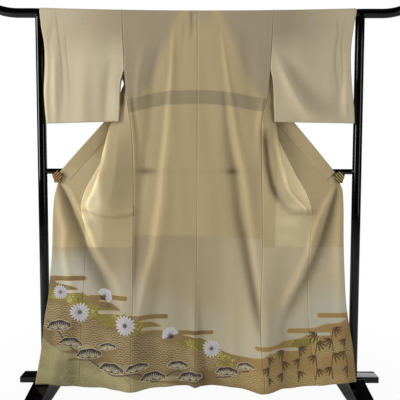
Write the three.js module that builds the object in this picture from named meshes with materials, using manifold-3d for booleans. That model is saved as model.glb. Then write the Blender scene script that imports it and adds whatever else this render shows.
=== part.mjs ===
// A tomesode kimono hung over the top rail of a lacquered kimono stand, seen from its back.
// The fronts are swung open sideways and clipped by their collar ends to the stand's crossbar.
// Millimetres, +Z up, +X to the right as seen from the back of the garment, +Y away from that side.
// Origin: on the floor, midway between the two feet.
import * as THREE from 'three';
import { mergeVertices } from 'three/addons/utils/BufferGeometryUtils.js';
import Module from 'manifold-3d';

const wasm = await Module();
wasm.setup();

// ---------- driving dimensions ----------
const seamGap = 0.3;            // between sewn pieces, and between anything else that touches
const cloth = 1.6;              // wall of the silk and its lining together
const railR = 19;
const railZ = 1643;             // rail axis above the floor at the uprights
const railSag = 11;             // how far the long rail bends down at its middle
const uprightX = 670;
const uprightR = 19;
const crossbarR = 11.5;
const crossbarZ = 983;
const beam = { halfLength: 774, halfDepth: 30, bottom: 72, top: 98 };
const foot = { width: 72, halfLength: 240, peak: 92, endHeight: 42, shoulderY: 36 };
const railEnd = { startX: 760, bendR: 260, turn: 28 * Math.PI / 180, tail: 24 };
const clip = { width: 44, height: 54, cornerR: 7, plate: 4.5, z: 962, frontY: -33.5,
  pinR: 4, pinInset: 9, pinDrop: 20, at: { left: -597, right: 587 } };
const collarWidth = 57;         // folded width that shows
const collarEndZ = 940;         // seam corner of the collar's cut end
const okumiCornerZ = 962;       // below here the okumi's outer edge is free
const armholeZ = 1412;          // lower end of the sleeve's seam to the body
const sideSeamTopZ = 1292;      // the side seam starts here, below the open miyatsukuchi
const kensakiZ = 1326;          // the okumi's pointed top
const hemRows = 60;             // nominal height of the hem; hemLine gives its true height
const neckZ = 1624;             // the back neckline, on the far side of the rail
const neckHalf = 55;            // half the width of the neckline's level part
const wristZ = 1430;            // lower end of the hand opening
const turnR = 6;                // radius of the front panel's two sharp turns
const sleeveSpan = { from: 330, length: 310 };   // where the sleeve's lower edge starts and how long it is

// ---------- how finely the cloth is divided ----------
const bodyColumns = 16;
const okumiColumns = 3;
const collarColumns = 2;
const sleeveColumns = 7;
const backLevels = [60, 140, 250, 380, 520, 650, 780, 900, 1000, 1100, 1200, 1300, 1412, 1500, 1580];
const frontLevels = [1612, 1590, 1550, 1510, 1460, 1412, 1370, 1330, 1292, 1250, 1210, 1173, 1135, 1100,
  1060, 1020, 983, 964, 945, 905, 870, 835, 800, 750, 650, 520, 380, 250, 140, 60];
const wrapAngles = [-90, -54, -18, 18, 54, 90];
const sleeveLevels = [1180, 1186, 1215, 1270, 1340, 1412, 1500, 1580];

// ---------- tables ----------
// The centre back seam: height, then its place in X.
const centreSeam = [[1660, -10], [860, -11], [350, -15], [60, -20]];

// Distances in X here are from the middle outward, by height. side: the outer edge of the body panel.
const sides = {
  left: {
    sign: -1,
    side: [[1660, 324], [1425, 316], [1290, 305], [1153, 286], [986, 280], [650, 281],
      [394, 281], [256, 287], [144, 290], [60, 285]],
    // z, rimX: outer fold of the front panel, foldX: hidden inner fold, innerX: okumi seam below kensakiZ
    front: [[1612, 324, 84, 84], [1545, 322, 94, 94], [1490, 319, 92, 102], [1412, 316, 109, 142],
      [1330, 320, 152, 212], [1290, 333, 183, 240], [1250, 348, 215, 268], [1173, 381, 281, 322],
      [1100, 390, 316, 371], [1069, 394, 330, 391], [983, 412, 375, 440], [903, 447, 432, 482],
      [841, 474, 468, 499], [790, 440, 462, 492], [734, 400, 445, 484], [530, 390, 440, 489],
      [392, 385, 440, 501], [60, 388, 446, 514]],
    edge: [[977, 595], [935, 599], [875, 613], [794, 620], [650, 626], [528, 637], [457, 643],
      [336, 663], [225, 672], [113, 683], [60, 690]],
    collar: [[0, 24, 1624, 0, 26, 1569], [55, 24, 1624, 45, 30, 1569], [84, 24.5, 1612, 66, 52, 1570],
      [91, 26, 1585, 84, 72, 1556], [94, 28, 1545, 116, 66, 1520], [102, 30, 1490, 150, 52, 1487],
      [142, 33, 1410, 185, 38, 1447], [212, 34, 1330, 255, 28, 1367], [349, 16, 1173, 392, 8, 1210],
      [440, 2, 1069, 483, -6, 1106], [515, -18, 983, 558, -15.5, 1020], [552, -31, 940, 595, -20, 977]],
    sleeve: { inner: [[1660, 324], [1412, 316], [1347, 330], [1216, 335], [1180, 338]],
      outer: [[1660, 666], [1582, 658], [1504, 646], [1426, 645], [1321, 649], [1242, 645], [1180, 639]],
      bottomInner: 1191, bottomOuter: 1181 },
    hem: [[20, 60], [60, 66], [170, 60], [285, 57], [400, 60], [514, 64], [580, 72], [626, 85], [690, 89]],
  },
  right: {
    sign: 1,
    side: [[1660, 305], [1427, 294], [1290, 282], [1233, 266], [1154, 257], [987, 261], [650, 264],
      [532, 259], [367, 255], [229, 258], [145, 268], [60, 273]],
    front: [[1612, 303, 84, 84], [1545, 300, 94, 94], [1490, 297, 92, 104], [1412, 294, 110, 151],
      [1330, 297, 142, 216], [1290, 303, 162, 241], [1250, 312, 190, 266], [1173, 325, 233, 312],
      [1100, 331, 259, 347], [1069, 337, 271, 360], [983, 356, 306, 398], [904, 383, 358, 443],
      [871, 409, 391, 457], [817, 453, 444, 472], [770, 410, 440, 476], [715, 375, 420, 466],
      [480, 360, 410, 459], [359, 362, 412, 463], [60, 375, 435, 497]],
    edge: [[977, 575], [935, 592], [898, 604], [651, 611], [532, 617], [421, 625], [338, 635],
      [228, 651], [60, 659]],
    collar: [[0, 24, 1624, 0, 26, 1569], [55, 24, 1624, 52, 30, 1569], [84, 24.5, 1612, 76, 52, 1570],
      [91, 26, 1585, 90, 72, 1556], [94, 28, 1545, 120, 66, 1520], [104, 30, 1490, 154, 52, 1487],
      [151, 33, 1410, 194, 38, 1447], [216, 34, 1330, 259, 28, 1367], [343, 16, 1173, 386, 8, 1210],
      [428, 2, 1069, 471, -6, 1106], [497, -18, 983, 540, -15.5, 1020], [532, -31, 940, 575, -20, 977]],
    sleeve: { inner: [[1660, 305], [1412, 294], [1349, 303], [1244, 309], [1180, 311]],
      outer: [[1660, 652], [1584, 638], [1506, 629], [1428, 628], [1323, 635], [1244, 643], [1180, 646]],
      bottomInner: 1189, bottomOuter: 1184 },
    hem: [[20, 60], [60, 66], [183, 58], [273, 56], [400, 62], [497, 72], [590, 88], [626, 97], [660, 102]],
  },
};

// z, then depths (Y): the back panel, the rim, the hidden fold, the okumi or collar seam, the front
// edge, and how far the stretch beside the side seam swells towards the viewer of the back.
const depths = {
  columns: ['back', 'rim', 'fold', 'inner', 'edge', 'belly'],
  rows: [[1620, -20.8, 22, 24, 25, 0, 0], [1490, -22, 10, 27, 30, 0, 0], [1410, -24, -1, 24, 33, 0, 0],
    [1330, -26, 0, 24, 34, 0, 0], [1290, -27, 2, 24, 34, 0, 0], [1250, -27, 0, 22, 32, 0, 2],
    [1173, -28, -10, 14, 26, 0, 5], [1100, -29, -28, 4, 14, 0, 11], [1069, -29, -36, -2, 8, 0, 13],
    [1020, -30, -46, -18, -14, 0, 15], [983, -30, -51, -31, -23, -16, 16], [903, -31, -54, -41, -33, -24, 16],
    [841, -33, -52, -44, -36, -27, 11], [790, -34, -45, -43, -38, -28, 4], [734, -35, -40, -40, -38, -29, 0],
    [400, -38, -42, -42, -40, -32, 0], [250, -39, -43, -43, -41, -38, 0], [60, -40, -50, -48, -50, -80, 0]],
};

// Vertical swellings that grow towards the hem: where, how wide, how deep at the hem, where they start.
const hemWaves = {
  left: [{ x: -288, width: 62, depth: 46, from: 900 }, { x: -60, width: 46, depth: -5, from: 600 },
    { x: -20, width: 18, depth: 12, from: 700 }],
  right: [{ x: 270, width: 66, depth: 56, from: 900 }, { x: 40, width: 42, depth: -4, from: 600 },
    { x: -20, width: 18, depth: 12, from: 700 }],
};

// Hand-placed folds: a line from top to bottom, its width and its relief at both ends.
// Positive relief is a ridge towards the viewer of the back, negative a trough.
const backFolds = [
  { x0: -116, z0: 1600, x1: -158, z1: 985, width: 15, r0: 3, r1: 8 },
  { x0: -158, z0: 985, x1: -256, z1: 440, width: 19, r0: 8, r1: 5 },
  { x0: 82, z0: 1600, x1: 157, z1: 1035, width: 15, r0: 3, r1: 9 },
  { x0: 157, z0: 1035, x1: 236, z1: 700, width: 17, r0: 9, r1: 5 },
  { x0: 119, z0: 1070, x1: 222, z1: 390, width: 17, r0: -8, r1: -6 },
  { x0: -92, z0: 1420, x1: -118, z1: 880, width: 20, r0: -4, r1: -4 },
  { x0: -250, z0: 1380, x1: -232, z1: 760, width: 22, r0: -5, r1: -4 },
  { x0: 232, z0: 1330, x1: 214, z1: 1000, width: 20, r0: -5, r1: -4 },
];
const frontFolds = [
  { x0: -578, z0: 930, x1: -384, z1: 520, width: 15, r0: -9, r1: -5 },
  { x0: -560, z0: 860, x1: -560, z1: 420, width: 22, r0: 6, r1: 4 },
  { x0: -420, z0: 640, x1: -345, z1: 330, width: 24, r0: 6, r1: 5 },
  { x0: 570, z0: 930, x1: 470, z1: 590, width: 14, r0: -10, r1: -7 },
  { x0: 470, z0: 590, x1: 374, z1: 380, width: 17, r0: -7, r1: -5 },
  { x0: 556, z0: 800, x1: 548, z1: 360, width: 20, r0: 7, r1: 4 },
  { x0: 404, z0: 700, x1: 330, z1: 360, width: 22, r0: 6, r1: 5 },
];
const sleeveFolds = [
  { x0: 316, z0: 1480, x1: 630, z1: 1215, width: 20, r0: 7, r1: 5 },
  { x0: 318, z0: 1400, x1: 560, z1: 1205, width: 17, r0: -5, r1: -4 },
  { x0: 400, z0: 1570, x1: 640, z1: 1400, width: 22, r0: 4, r1: 4 },
  { x0: -420, z0: 1560, x1: -405, z1: 1240, width: 24, r0: 4, r1: 6 },
  { x0: -560, z0: 1600, x1: -590, z1: 1230, width: 26, r0: 4, r1: 5 },
];

// ---------- small helpers ----------
const clamp01 = (v) => Math.min(1, Math.max(0, v));
const mix = (a, b, t) => a + (b - a) * t;
const smooth = (t) => { const c = clamp01(t); return c * c * (3 - 2 * c); };

// Smooth curve through rows [key, ..., value, ...]; the key may rise or fall along the rows.
function along(rows, key, column = 1) {
  const up = rows[0][0] < rows[rows.length - 1][0];
  const table = up ? rows : [...rows].reverse();
  const last = table.length - 1;
  const at = Math.min(Math.max(key, table[0][0]), table[last][0]);
  let i = 0;
  while (i < last - 1 && table[i + 1][0] < at) i += 1;
  const slope = (k) => {
    const a = table[Math.max(k - 1, 0)];
    const b = table[Math.min(k + 1, last)];
    return (b[column] - a[column]) / (b[0] - a[0]);
  };
  const span = table[i + 1][0] - table[i][0];
  const t = (at - table[i][0]) / span;
  const t2 = t * t;
  const t3 = t2 * t;
  return (2 * t3 - 3 * t2 + 1) * table[i][column] + (t3 - 2 * t2 + t) * span * slope(i)
    + (3 * t2 - 2 * t3) * table[i + 1][column] + (t3 - t2) * span * slope(i + 1);
}

const depth = (name, z) => along(depths.rows, z, 1 + depths.columns.indexOf(name));

function relief(folds, x, z) {
  let sum = 0;
  for (const f of folds) {
    const dx = f.x1 - f.x0;
    const dz = f.z1 - f.z0;
    const length = Math.hypot(dx, dz);
    const t = ((x - f.x0) * dx + (z - f.z0) * dz) / (length * length);
    const off = ((x - f.x0) * dz - (z - f.z0) * dx) / length;
    const ends = smooth((t + 0.15) / 0.3) * smooth((1.15 - t) / 0.3);
    sum += mix(f.r0, f.r1, clamp01(t)) * ends * Math.exp(-((off / f.width) ** 2));
  }
  return sum;
}

function hemSwell(side, x, z) {
  let sum = 0;
  for (const w of hemWaves[side]) {
    sum += w.depth * smooth((w.from - z) / (w.from - hemRows)) * Math.exp(-(((x - w.x) / w.width) ** 2));
  }
  return sum;
}

const railAxisZ = (x) => {
  const out = Math.abs(x) / (uprightX + 20);
  return railZ - railSag * Math.max(0, 1 - out * out);
};

// The hem's true height at x, blended into the level rows over the lowest half metre.
function hemLine(side, x, z) {
  const rise = along(sides[side].hem, Math.abs(x)) - hemRows;
  return z + rise * smooth((560 - z) / (560 - hemRows));
}

// ---------- solids ----------
function meshFrom(points, faces) {
  const geometry = new THREE.BufferGeometry();
  geometry.setAttribute('position', new THREE.Float32BufferAttribute(points.flat(), 3));
  geometry.setIndex(faces.flat());
  return geometry;
}

function signedVolume(points, faces) {
  let sum = 0;
  for (const [a, b, c] of faces) {
    const [p, q, r] = [points[a], points[b], points[c]];
    sum += p[0] * (q[1] * r[2] - q[2] * r[1]) - p[1] * (q[0] * r[2] - q[2] * r[0])
      + p[2] * (q[0] * r[1] - q[1] * r[0]);
  }
  return sum;
}

// A cloth wall on a grid of points, grid[row][column], closed round the rows where loop is true.
function clothWall(grid, loop = false) {
  const rows = grid.length;
  const cols = grid[0].length;
  const row = (i) => (loop ? (i + rows) % rows : Math.min(Math.max(i, 0), rows - 1));
  const col = (j) => Math.min(Math.max(j, 0), cols - 1);
  const faceA = [];
  const faceB = [];
  for (let i = 0; i < rows; i += 1) {
    for (let j = 0; j < cols; j += 1) {
      const du = new THREE.Vector3(...grid[row(i + 1)][j]).sub(new THREE.Vector3(...grid[row(i - 1)][j]));
      const dv = new THREE.Vector3(...grid[i][col(j + 1)]).sub(new THREE.Vector3(...grid[i][col(j - 1)]));
      const normal = du.cross(dv).normalize().multiplyScalar(cloth / 2);
      const [x, y, z] = grid[i][j];
      faceA.push([x + normal.x, y + normal.y, z + normal.z]);
      faceB.push([x - normal.x, y - normal.y, z - normal.z]);
    }
  }
  const points = [...faceA, ...faceB];
  const faces = [];
  const a = (i, j) => row(i) * cols + j;
  const b = (i, j) => rows * cols + a(i, j);
  const quad = (p, q, r, s) => faces.push([p, q, r], [p, r, s]);
  const lastRow = loop ? rows : rows - 1;
  for (let i = 0; i < lastRow; i += 1) {
    for (let j = 0; j < cols - 1; j += 1) {
      quad(a(i, j), a(i + 1, j), a(i + 1, j + 1), a(i, j + 1));
      quad(b(i, j), b(i, j + 1), b(i + 1, j + 1), b(i + 1, j));
    }
    quad(a(i, 0), b(i, 0), b(i + 1, 0), a(i + 1, 0));
    quad(a(i, cols - 1), a(i + 1, cols - 1), b(i + 1, cols - 1), b(i, cols - 1));
  }
  if (!loop) {
    for (let j = 0; j < cols - 1; j += 1) {
      quad(a(0, j), a(0, j + 1), b(0, j + 1), b(0, j));
      quad(a(rows - 1, j), b(rows - 1, j), b(rows - 1, j + 1), a(rows - 1, j + 1));
    }
  }
  if (signedVolume(points, faces) < 0) {
    for (const f of faces) f.reverse();
  }
  return meshFrom(points, faces);
}

function solidOf(geometry) {
  const bare = geometry.clone();
  bare.deleteAttribute('normal');
  bare.deleteAttribute('uv');
  const merged = mergeVertices(bare, 1e-3);
  return new wasm.Manifold(new wasm.Mesh({
    numProp: 3,
    vertProperties: new Float32Array(merged.attributes.position.array),
    triVerts: new Uint32Array(merged.index.array),
  }));
}

function geometryOf(solid) {
  const mesh = solid.getMesh();
  const geometry = new THREE.BufferGeometry();
  geometry.setAttribute('position', new THREE.BufferAttribute(new Float32Array(mesh.vertProperties), 3));
  geometry.setIndex(new THREE.BufferAttribute(new Uint32Array(mesh.triVerts), 1));
  return geometry;
}

const group = new THREE.Group();
function add(name, geometry, material) {
  const mesh = new THREE.Mesh(geometry, material);
  mesh.name = name;
  group.add(mesh);
}

const silk = () => new THREE.MeshStandardMaterial({ color: 0xb7a683, roughness: 0.6, metalness: 0 });
const lacquer = () => new THREE.MeshStandardMaterial({ color: 0x0b0b0d, roughness: 0.15, metalness: 0 });
const gilt = () => new THREE.MeshStandardMaterial({ color: 0x8a6a35, roughness: 0.45, metalness: 0.3 });

// ---------- body panels ----------
const wrapR = railR + seamGap + 1 + cloth / 2;      // mid-surface of the cloth over the rail
const sideX = (side, z) => along(sides[side].side, z);
const seamRows = (side) => sides[side].collar.slice(2).map((r) => [r[2], r[0], r[1], r[3], r[4], r[5]]);

// Depth of the free front edge beside the armhole and the open miyatsukuchi.
const frontEdgeY = (z) => along([[1620, 21], [armholeZ, 0], [sideSeamTopZ, -12]], z);

function backPoint(side, z, across) {
  const { sign } = sides[side];
  const inner = sign * along(centreSeam, z) + seamGap;
  const x = sign * mix(inner, sideX(side, z), across);
  const settle = smooth((1630 - z) / 160);
  const y = depth('back', z) - relief(backFolds, x, z) * settle - hemSwell(side, x, z);
  return [x, y, hemLine(side, x, z)];
}

// One level of a front panel, as corners of a smooth line: side edge, rim, hidden fold, inner seam.
function frontSection(side, z) {
  const s = sides[side];
  const edgeX = sideX(side, z) + (z < sideSeamTopZ ? seamGap : 0);
  const joined = smooth((sideSeamTopZ + 60 - z) / 60);      // the free front edge swings in to the seam
  const edgeY = mix(frontEdgeY(z), depth('back', z) - relief(backFolds, s.sign * edgeX, z), joined);
  const seam = seamRows(side);
  const inner = z > kensakiZ
    ? [along(seam, z, 1), along(seam, z, 2)]
    : [along(s.front, z, 3), depth('inner', z)];
  const rim = [along(s.front, z, 1), depth('rim', z)];
  const fold = [along(s.front, z, 2), depth('fold', z)];
  const lap = clamp01((rim[0] - fold[0]) / (3 * turnR));            // 1 where the cloth doubles back
  const out = clamp01((rim[0] - edgeX) / (3 * turnR));
  const back = clamp01((inner[0] - fold[0]) / (1.5 * turnR));
  const points = [[edgeX, edgeY]];
  if (z < armholeZ) {
    points.push([mix(edgeX, rim[0], 0.5), mix(edgeY, rim[1], 0.5) - depth('belly', z)]);
    points.push([rim[0] - turnR * out, rim[1] - turnR * lap * out]);
    points.push(rim);
    points.push([rim[0] - turnR * (2 * lap - 1), rim[1] + turnR * lap]);
  } else {
    points.push([mix(edgeX, fold[0], 0.5), mix(edgeY, fold[1] - turnR * back, 0.5)]);
  }
  points.push([fold[0] + turnR * (2 * lap - 1), fold[1] - turnR * lap * back]);
  if (back > 0.05) {
    points.push(fold);
    points.push([fold[0] + turnR * back, fold[1] + turnR * back * lap]);
  }
  points.push(inner);
  return points;
}

// Points spread along a smooth line through the corners, closer together where it turns.
function spread(corners, steps) {
  const curve = new THREE.CatmullRomCurve3(corners.map(([x, y]) => new THREE.Vector3(x, y, 0)));
  const fine = curve.getPoints(24 * corners.length);
  const run = [0];
  for (let i = 1; i < fine.length; i += 1) {
    const step = fine[i].clone().sub(fine[i - 1]);
    const before = i > 1 ? fine[i - 1].clone().sub(fine[i - 2]) : step;
    run.push(run[i - 1] + step.length() + turnR * step.angleTo(before));
  }
  return Array.from({ length: steps + 1 }, (_, j) => {
    const want = (run[run.length - 1] * j) / steps;
    const i = Math.min(Math.max(run.findIndex((r) => r >= want), 1), run.length - 1);
    const p = fine[i - 1].clone().lerp(fine[i], (want - run[i - 1]) / (run[i] - run[i - 1] || 1));
    return [p.x, p.y];
  });
}

function drapedPoint(side, out, y, z) {
  const x = sides[side].sign * out;
  const low = smooth((930 - z) / 120);
  return [x, y - relief(frontFolds, x, z) * low - hemSwell(side, x, z), hemLine(side, x, z)];
}

const frontPoints = (side, z) => spread(frontSection(side, z), bodyColumns)
  .map(([out, y]) => drapedPoint(side, out, y, z));

function bodyPanel(side) {
  const { sign } = sides[side];
  const columns = Array.from({ length: bodyColumns + 1 }, (_, j) => j / bodyColumns);
  const middle = sign * along(centreSeam, railZ) + seamGap;
  const grid = backLevels.map((z) => columns.map((across) => backPoint(side, z, across)));
  for (const degrees of wrapAngles) {
    const a = degrees * Math.PI / 180;
    grid.push(columns.map((across) => {
      const x = sign * mix(middle, sideX(side, railZ), across);
      return [x, wrapR * Math.sin(a), railAxisZ(x) + wrapR * Math.cos(a)];
    }));
  }
  for (const [z, inner] of [[neckZ + cloth, middle], [neckZ, neckHalf]]) {
    grid.push(columns.map((across) => [sign * mix(inner, sideX(side, z), across), wrapR + cloth / 4, z]));
  }
  for (const z of frontLevels) grid.push(frontPoints(side, z).reverse());
  return clothWall(grid);
}

// ---------- okumi ----------
// From the okumi seam out to the front edge or, above the collar's end, to the collar seam.
function okumiPanel(side) {
  const s = sides[side];
  const seam = seamRows(side);
  return clothWall(frontLevels.filter((z) => z < kensakiZ).map((z) => {
    const inner = [along(s.front, z, 3), depth('inner', z)];
    const tuck = z < crossbarZ ? 2 * cloth : 0;               // passes behind the collar's cut end
    const end = z > okumiCornerZ
      ? [along(seam, z, 1) - seamGap, along(seam, z, 2) + tuck]
      : [along(s.edge, z), depth('edge', z)];
    const gap = (seamGap + cloth / 2) / Math.hypot(end[0] - inner[0], end[1] - inner[1]);
    return Array.from({ length: okumiColumns + 1 }, (_, j) => {
      const t = mix(gap, 1, j / okumiColumns);
      return drapedPoint(side, mix(inner[0], end[0], t), mix(inner[1], end[1], t), z);
    });
  }));
}

// ---------- collar ----------
// Half of the strip, from the middle of the back neck to its clipped end: [seam, edge] point pairs.
function collarHalf(side) {
  const { sign, collar } = sides[side];
  const neckRows = [0, 14, 28, 42, 55, 66, 76];
  const down = frontLevels.filter((z) => z > collarEndZ + 6);
  const pair = (row) => [[sign * row[0], row[1], row[2]], [sign * row[3], row[4], row[5]]];
  const byX = collar.slice(0, 3).map((r) => [r[0], ...r.slice(1)]);
  const seam = seamRows(side);
  return [
    ...neckRows.map((x) => pair([x, ...[1, 2, 3, 4, 5].map((c) => along(byX, x, c))])),
    ...[...down, collarEndZ].map((z) => {
      const [sx, sy, ex, ey, ez] = [1, 2, 3, 4, 5].map((c) => along(seam, z, c));
      return pair([sx, sy, z, ex, ey, ez]);
    }),
  ];
}

function collarStrip() {
  const pairs = [...collarHalf('left').slice(1).reverse(), ...collarHalf('right')];
  return clothWall(pairs.map(([seam, edge]) => Array.from({ length: collarColumns + 1 }, (_, j) => {
    const twisted = smooth((seam[2] - kensakiZ) / 100);          // it stands away from the panel up here
    const start = (seamGap + cloth * twisted) / collarWidth;
    const t = mix(start, 1, j / collarColumns);
    return [0, 1, 2].map((c) => mix(seam[c], edge[c], t));
  })));
}

// ---------- sleeves ----------
// A bag over the rail: open beside the body and at the hand, sewn along the bottom and below the hand.
function sleeveBag(side) {
  const { sign, sleeve } = sides[side];
  const frontY = (z) => along([[1640, -wrapR], [armholeZ, -24], [1180, -32]], z);
  const rearY = (z) => along([[1640, wrapR], [armholeZ, 0], [sideSeamTopZ, -15], [1180, -29]], z);
  const place = (j, z) => {
    const inner = z > armholeZ - 1 ? sideX(side, z) : along(sleeve.inner, z);
    return sign * mix(inner + 2 * seamGap, along(sleeve.outer, z), j / sleeveColumns);
  };
  const layer = (level, j, near) => {
    const x = place(j, level);
    const outward = clamp01((Math.abs(x) - sleeveSpan.from) / sleeveSpan.length);
    const low = mix(sleeve.bottomInner, sleeve.bottomOuter, outward);
    const z = level + (low - sleeveLevels[0]) * smooth((armholeZ - level) / 200);
    const sewn = smooth((wristZ - z) / 40) * smooth((j / sleeveColumns - 0.8) / 0.2);
    const fold = relief(sleeveFolds, x, z) * smooth((1620 - z) / 120) * smooth((z - 1190) / 60);
    const front = frontY(z) - fold * smooth((j / sleeveColumns) / 0.2);
    const rear = Math.max(mix(rearY(z), front + 2 * cloth, sewn), front + 2 * cloth);
    return [x, near ? front : rear, z];
  };
  const columns = Array.from({ length: sleeveColumns + 1 }, (_, j) => j);
  const grid = sleeveLevels.map((level) => columns.map((j) => layer(level, j, true)));
  for (const degrees of wrapAngles) {
    const a = degrees * Math.PI / 180;
    grid.push(columns.map((j) => {
      const x = place(j, railZ);
      return [x, wrapR * Math.sin(a), railAxisZ(x) + wrapR * Math.cos(a)];
    }));
  }
  for (const level of [...sleeveLevels].reverse()) grid.push(columns.map((j) => layer(level, j, false)));
  return clothWall(grid, true);
}

// ---------- stand ----------
class RailLine extends THREE.Curve {
  getPoint(t) {
    const half = railEnd.startX + railEnd.bendR * railEnd.turn + railEnd.tail;
    const s = (2 * t - 1) * half;
    const out = Math.abs(s);
    const bent = Math.min(Math.max(out - railEnd.startX, 0), railEnd.bendR * railEnd.turn);
    const angle = bent / railEnd.bendR;
    const tail = Math.max(out - railEnd.startX - railEnd.bendR * railEnd.turn, 0);
    const x = Math.min(out, railEnd.startX) + railEnd.bendR * Math.sin(angle) + tail * Math.cos(angle);
    const rise = railEnd.bendR * (1 - Math.cos(angle)) + tail * Math.sin(angle);
    return new THREE.Vector3(Math.sign(s) * x, 0, railAxisZ(x) + rise);
  }
}

function roundBar(path, radius, steps, sideCount = 12) {
  const circle = new THREE.Shape();
  circle.absarc(0, 0, radius, 0, 2 * Math.PI);
  return new THREE.ExtrudeGeometry(circle, {
    extrudePath: path, steps, curveSegments: sideCount, bevelEnabled: false,
  });
}

function cylinder(radius, from, to, sideCount = 32) {
  const length = from.distanceTo(to);
  const geometry = new THREE.CylinderGeometry(radius, radius, length, sideCount);
  const up = new THREE.Vector3(0, 1, 0);
  const direction = to.clone().sub(from).normalize();
  geometry.applyQuaternion(new THREE.Quaternion().setFromUnitVectors(up, direction));
  geometry.translate(...from.clone().add(to).multiplyScalar(0.5).toArray());
  return geometry;
}

function buildStand() {
  add('top_rail', roundBar(new RailLine(), railR, 40), lacquer());
  const railCut = solidOf(roundBar(new RailLine(), railR + seamGap, 40));
  const uprightCuts = [-1, 1].map((sign) => solidOf(cylinder(uprightR + seamGap,
    new THREE.Vector3(sign * uprightX, 0, beam.top), new THREE.Vector3(sign * uprightX, 0, railZ))));
  [-1, 1].forEach((sign) => {
    const post = solidOf(cylinder(uprightR, new THREE.Vector3(sign * uprightX, 0, beam.top + seamGap),
      new THREE.Vector3(sign * uprightX, 0, railZ)));
    add(`upright_${sign < 0 ? 'left' : 'right'}`, geometryOf(post.subtract(railCut)), lacquer());
  });
  const bar = solidOf(cylinder(crossbarR, new THREE.Vector3(-uprightX, 0, crossbarZ),
    new THREE.Vector3(uprightX, 0, crossbarZ), 24));
  const between = bar.subtract(uprightCuts[0]).subtract(uprightCuts[1]);
  const middle = between.decompose().find((piece) => {
    const box = piece.boundingBox();
    return box.min[0] < 0 && box.max[0] > 0;
  });
  add('crossbar', geometryOf(middle), lacquer());
  const plank = new THREE.BoxGeometry(2 * beam.halfLength, 2 * beam.halfDepth, beam.top - beam.bottom);
  plank.translate(0, 0, (beam.top + beam.bottom) / 2);
  add('lower_beam', plank, lacquer());
  [-1, 1].forEach((sign) => {
    add(`foot_${sign < 0 ? 'left' : 'right'}`, footBlock(sign * uprightX), lacquer());
  });
}

// A sloping foot with a notch that the lower beam is let into.
function footBlock(x) {
  const notch = beam.halfDepth + seamGap;
  const half = [[notch, beam.bottom - seamGap], [notch, foot.peak], [foot.shoulderY, foot.peak],
    [foot.halfLength - 8, foot.endHeight], [foot.halfLength, foot.endHeight - 8], [foot.halfLength, 0]];
  const outline = [...half, ...half.map(([y, z]) => [-y, z]).reverse()];
  const shape = new THREE.Shape(outline.map(([y, z]) => new THREE.Vector2(y, z)));
  const geometry = new THREE.ExtrudeGeometry(shape, { depth: foot.width, bevelEnabled: false });
  geometry.rotateX(Math.PI / 2);                       // outline (y, z) as (x, z)
  geometry.rotateZ(Math.PI / 2);
  geometry.computeBoundingBox();
  const box = geometry.boundingBox;
  geometry.translate(x - (box.min.x + box.max.x) / 2, 0, 0);
  return geometry;
}

// ---------- clips ----------
// One flat jaw with rounded corners, its near face at depth y.
function jaw(x, y) {
  const shape = new THREE.Shape();
  const [w, h, r] = [clip.width / 2, clip.height / 2, clip.cornerR];
  shape.absarc(w - r, h - r, r, 0, Math.PI / 2);
  shape.absarc(r - w, h - r, r, Math.PI / 2, Math.PI);
  shape.absarc(r - w, r - h, r, Math.PI, 1.5 * Math.PI);
  shape.absarc(w - r, r - h, r, 1.5 * Math.PI, 2 * Math.PI);
  const plate = new THREE.ExtrudeGeometry(shape, {
    depth: clip.plate, bevelEnabled: false, curveSegments: 5,
  });
  plate.rotateX(Math.PI / 2);
  plate.translate(x, y + clip.plate, clip.z);
  return plate;
}

function buildClips() {
  for (const [side, x] of Object.entries(clip.at)) {
    const rearY = crossbarR + seamGap;
    const pinX = x + sides[side].sign * (clip.width / 2 - clip.pinInset);
    const pinZ = clip.z - clip.pinDrop;
    add(`clip_jaw_front_${side}`, jaw(x, clip.frontY), gilt());
    add(`clip_jaw_rear_${side}`, jaw(x, rearY), gilt());
    add(`clip_pin_${side}`, cylinder(clip.pinR,
      new THREE.Vector3(pinX, clip.frontY + clip.plate + seamGap, pinZ),
      new THREE.Vector3(pinX, rearY - seamGap, pinZ), 20), gilt());
  }
}

buildStand();
add('body_left', bodyPanel('left'), silk());
add('body_right', bodyPanel('right'), silk());
add('sleeve_left', sleeveBag('left'), silk());
add('sleeve_right', sleeveBag('right'), silk());
add('okumi_left', okumiPanel('left'), silk());
add('okumi_right', okumiPanel('right'), silk());
add('collar', collarStrip(), silk());
buildClips();

export default group;
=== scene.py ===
import math

import bmesh
import bpy
import numpy as np
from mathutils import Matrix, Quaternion, Vector
from mathutils.bvhtree import BVHTree


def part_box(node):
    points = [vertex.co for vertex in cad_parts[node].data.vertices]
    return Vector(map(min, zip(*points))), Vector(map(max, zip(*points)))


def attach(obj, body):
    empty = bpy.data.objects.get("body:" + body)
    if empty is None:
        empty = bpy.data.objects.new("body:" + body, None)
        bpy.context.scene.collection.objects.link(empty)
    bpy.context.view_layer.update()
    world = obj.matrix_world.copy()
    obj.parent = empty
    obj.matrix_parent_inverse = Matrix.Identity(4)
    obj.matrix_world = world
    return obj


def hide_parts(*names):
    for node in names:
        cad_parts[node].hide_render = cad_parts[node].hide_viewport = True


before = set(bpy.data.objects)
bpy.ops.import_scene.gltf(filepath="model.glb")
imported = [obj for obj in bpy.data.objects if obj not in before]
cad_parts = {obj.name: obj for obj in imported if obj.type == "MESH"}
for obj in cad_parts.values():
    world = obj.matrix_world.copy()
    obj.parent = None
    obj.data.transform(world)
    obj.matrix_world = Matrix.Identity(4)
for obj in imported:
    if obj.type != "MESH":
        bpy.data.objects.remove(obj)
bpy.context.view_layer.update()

print("frame loaded:", len(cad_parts), "nodes")

mm = 0.001                                          # sizes below are in millimetres, as on a cutting sheet

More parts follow.
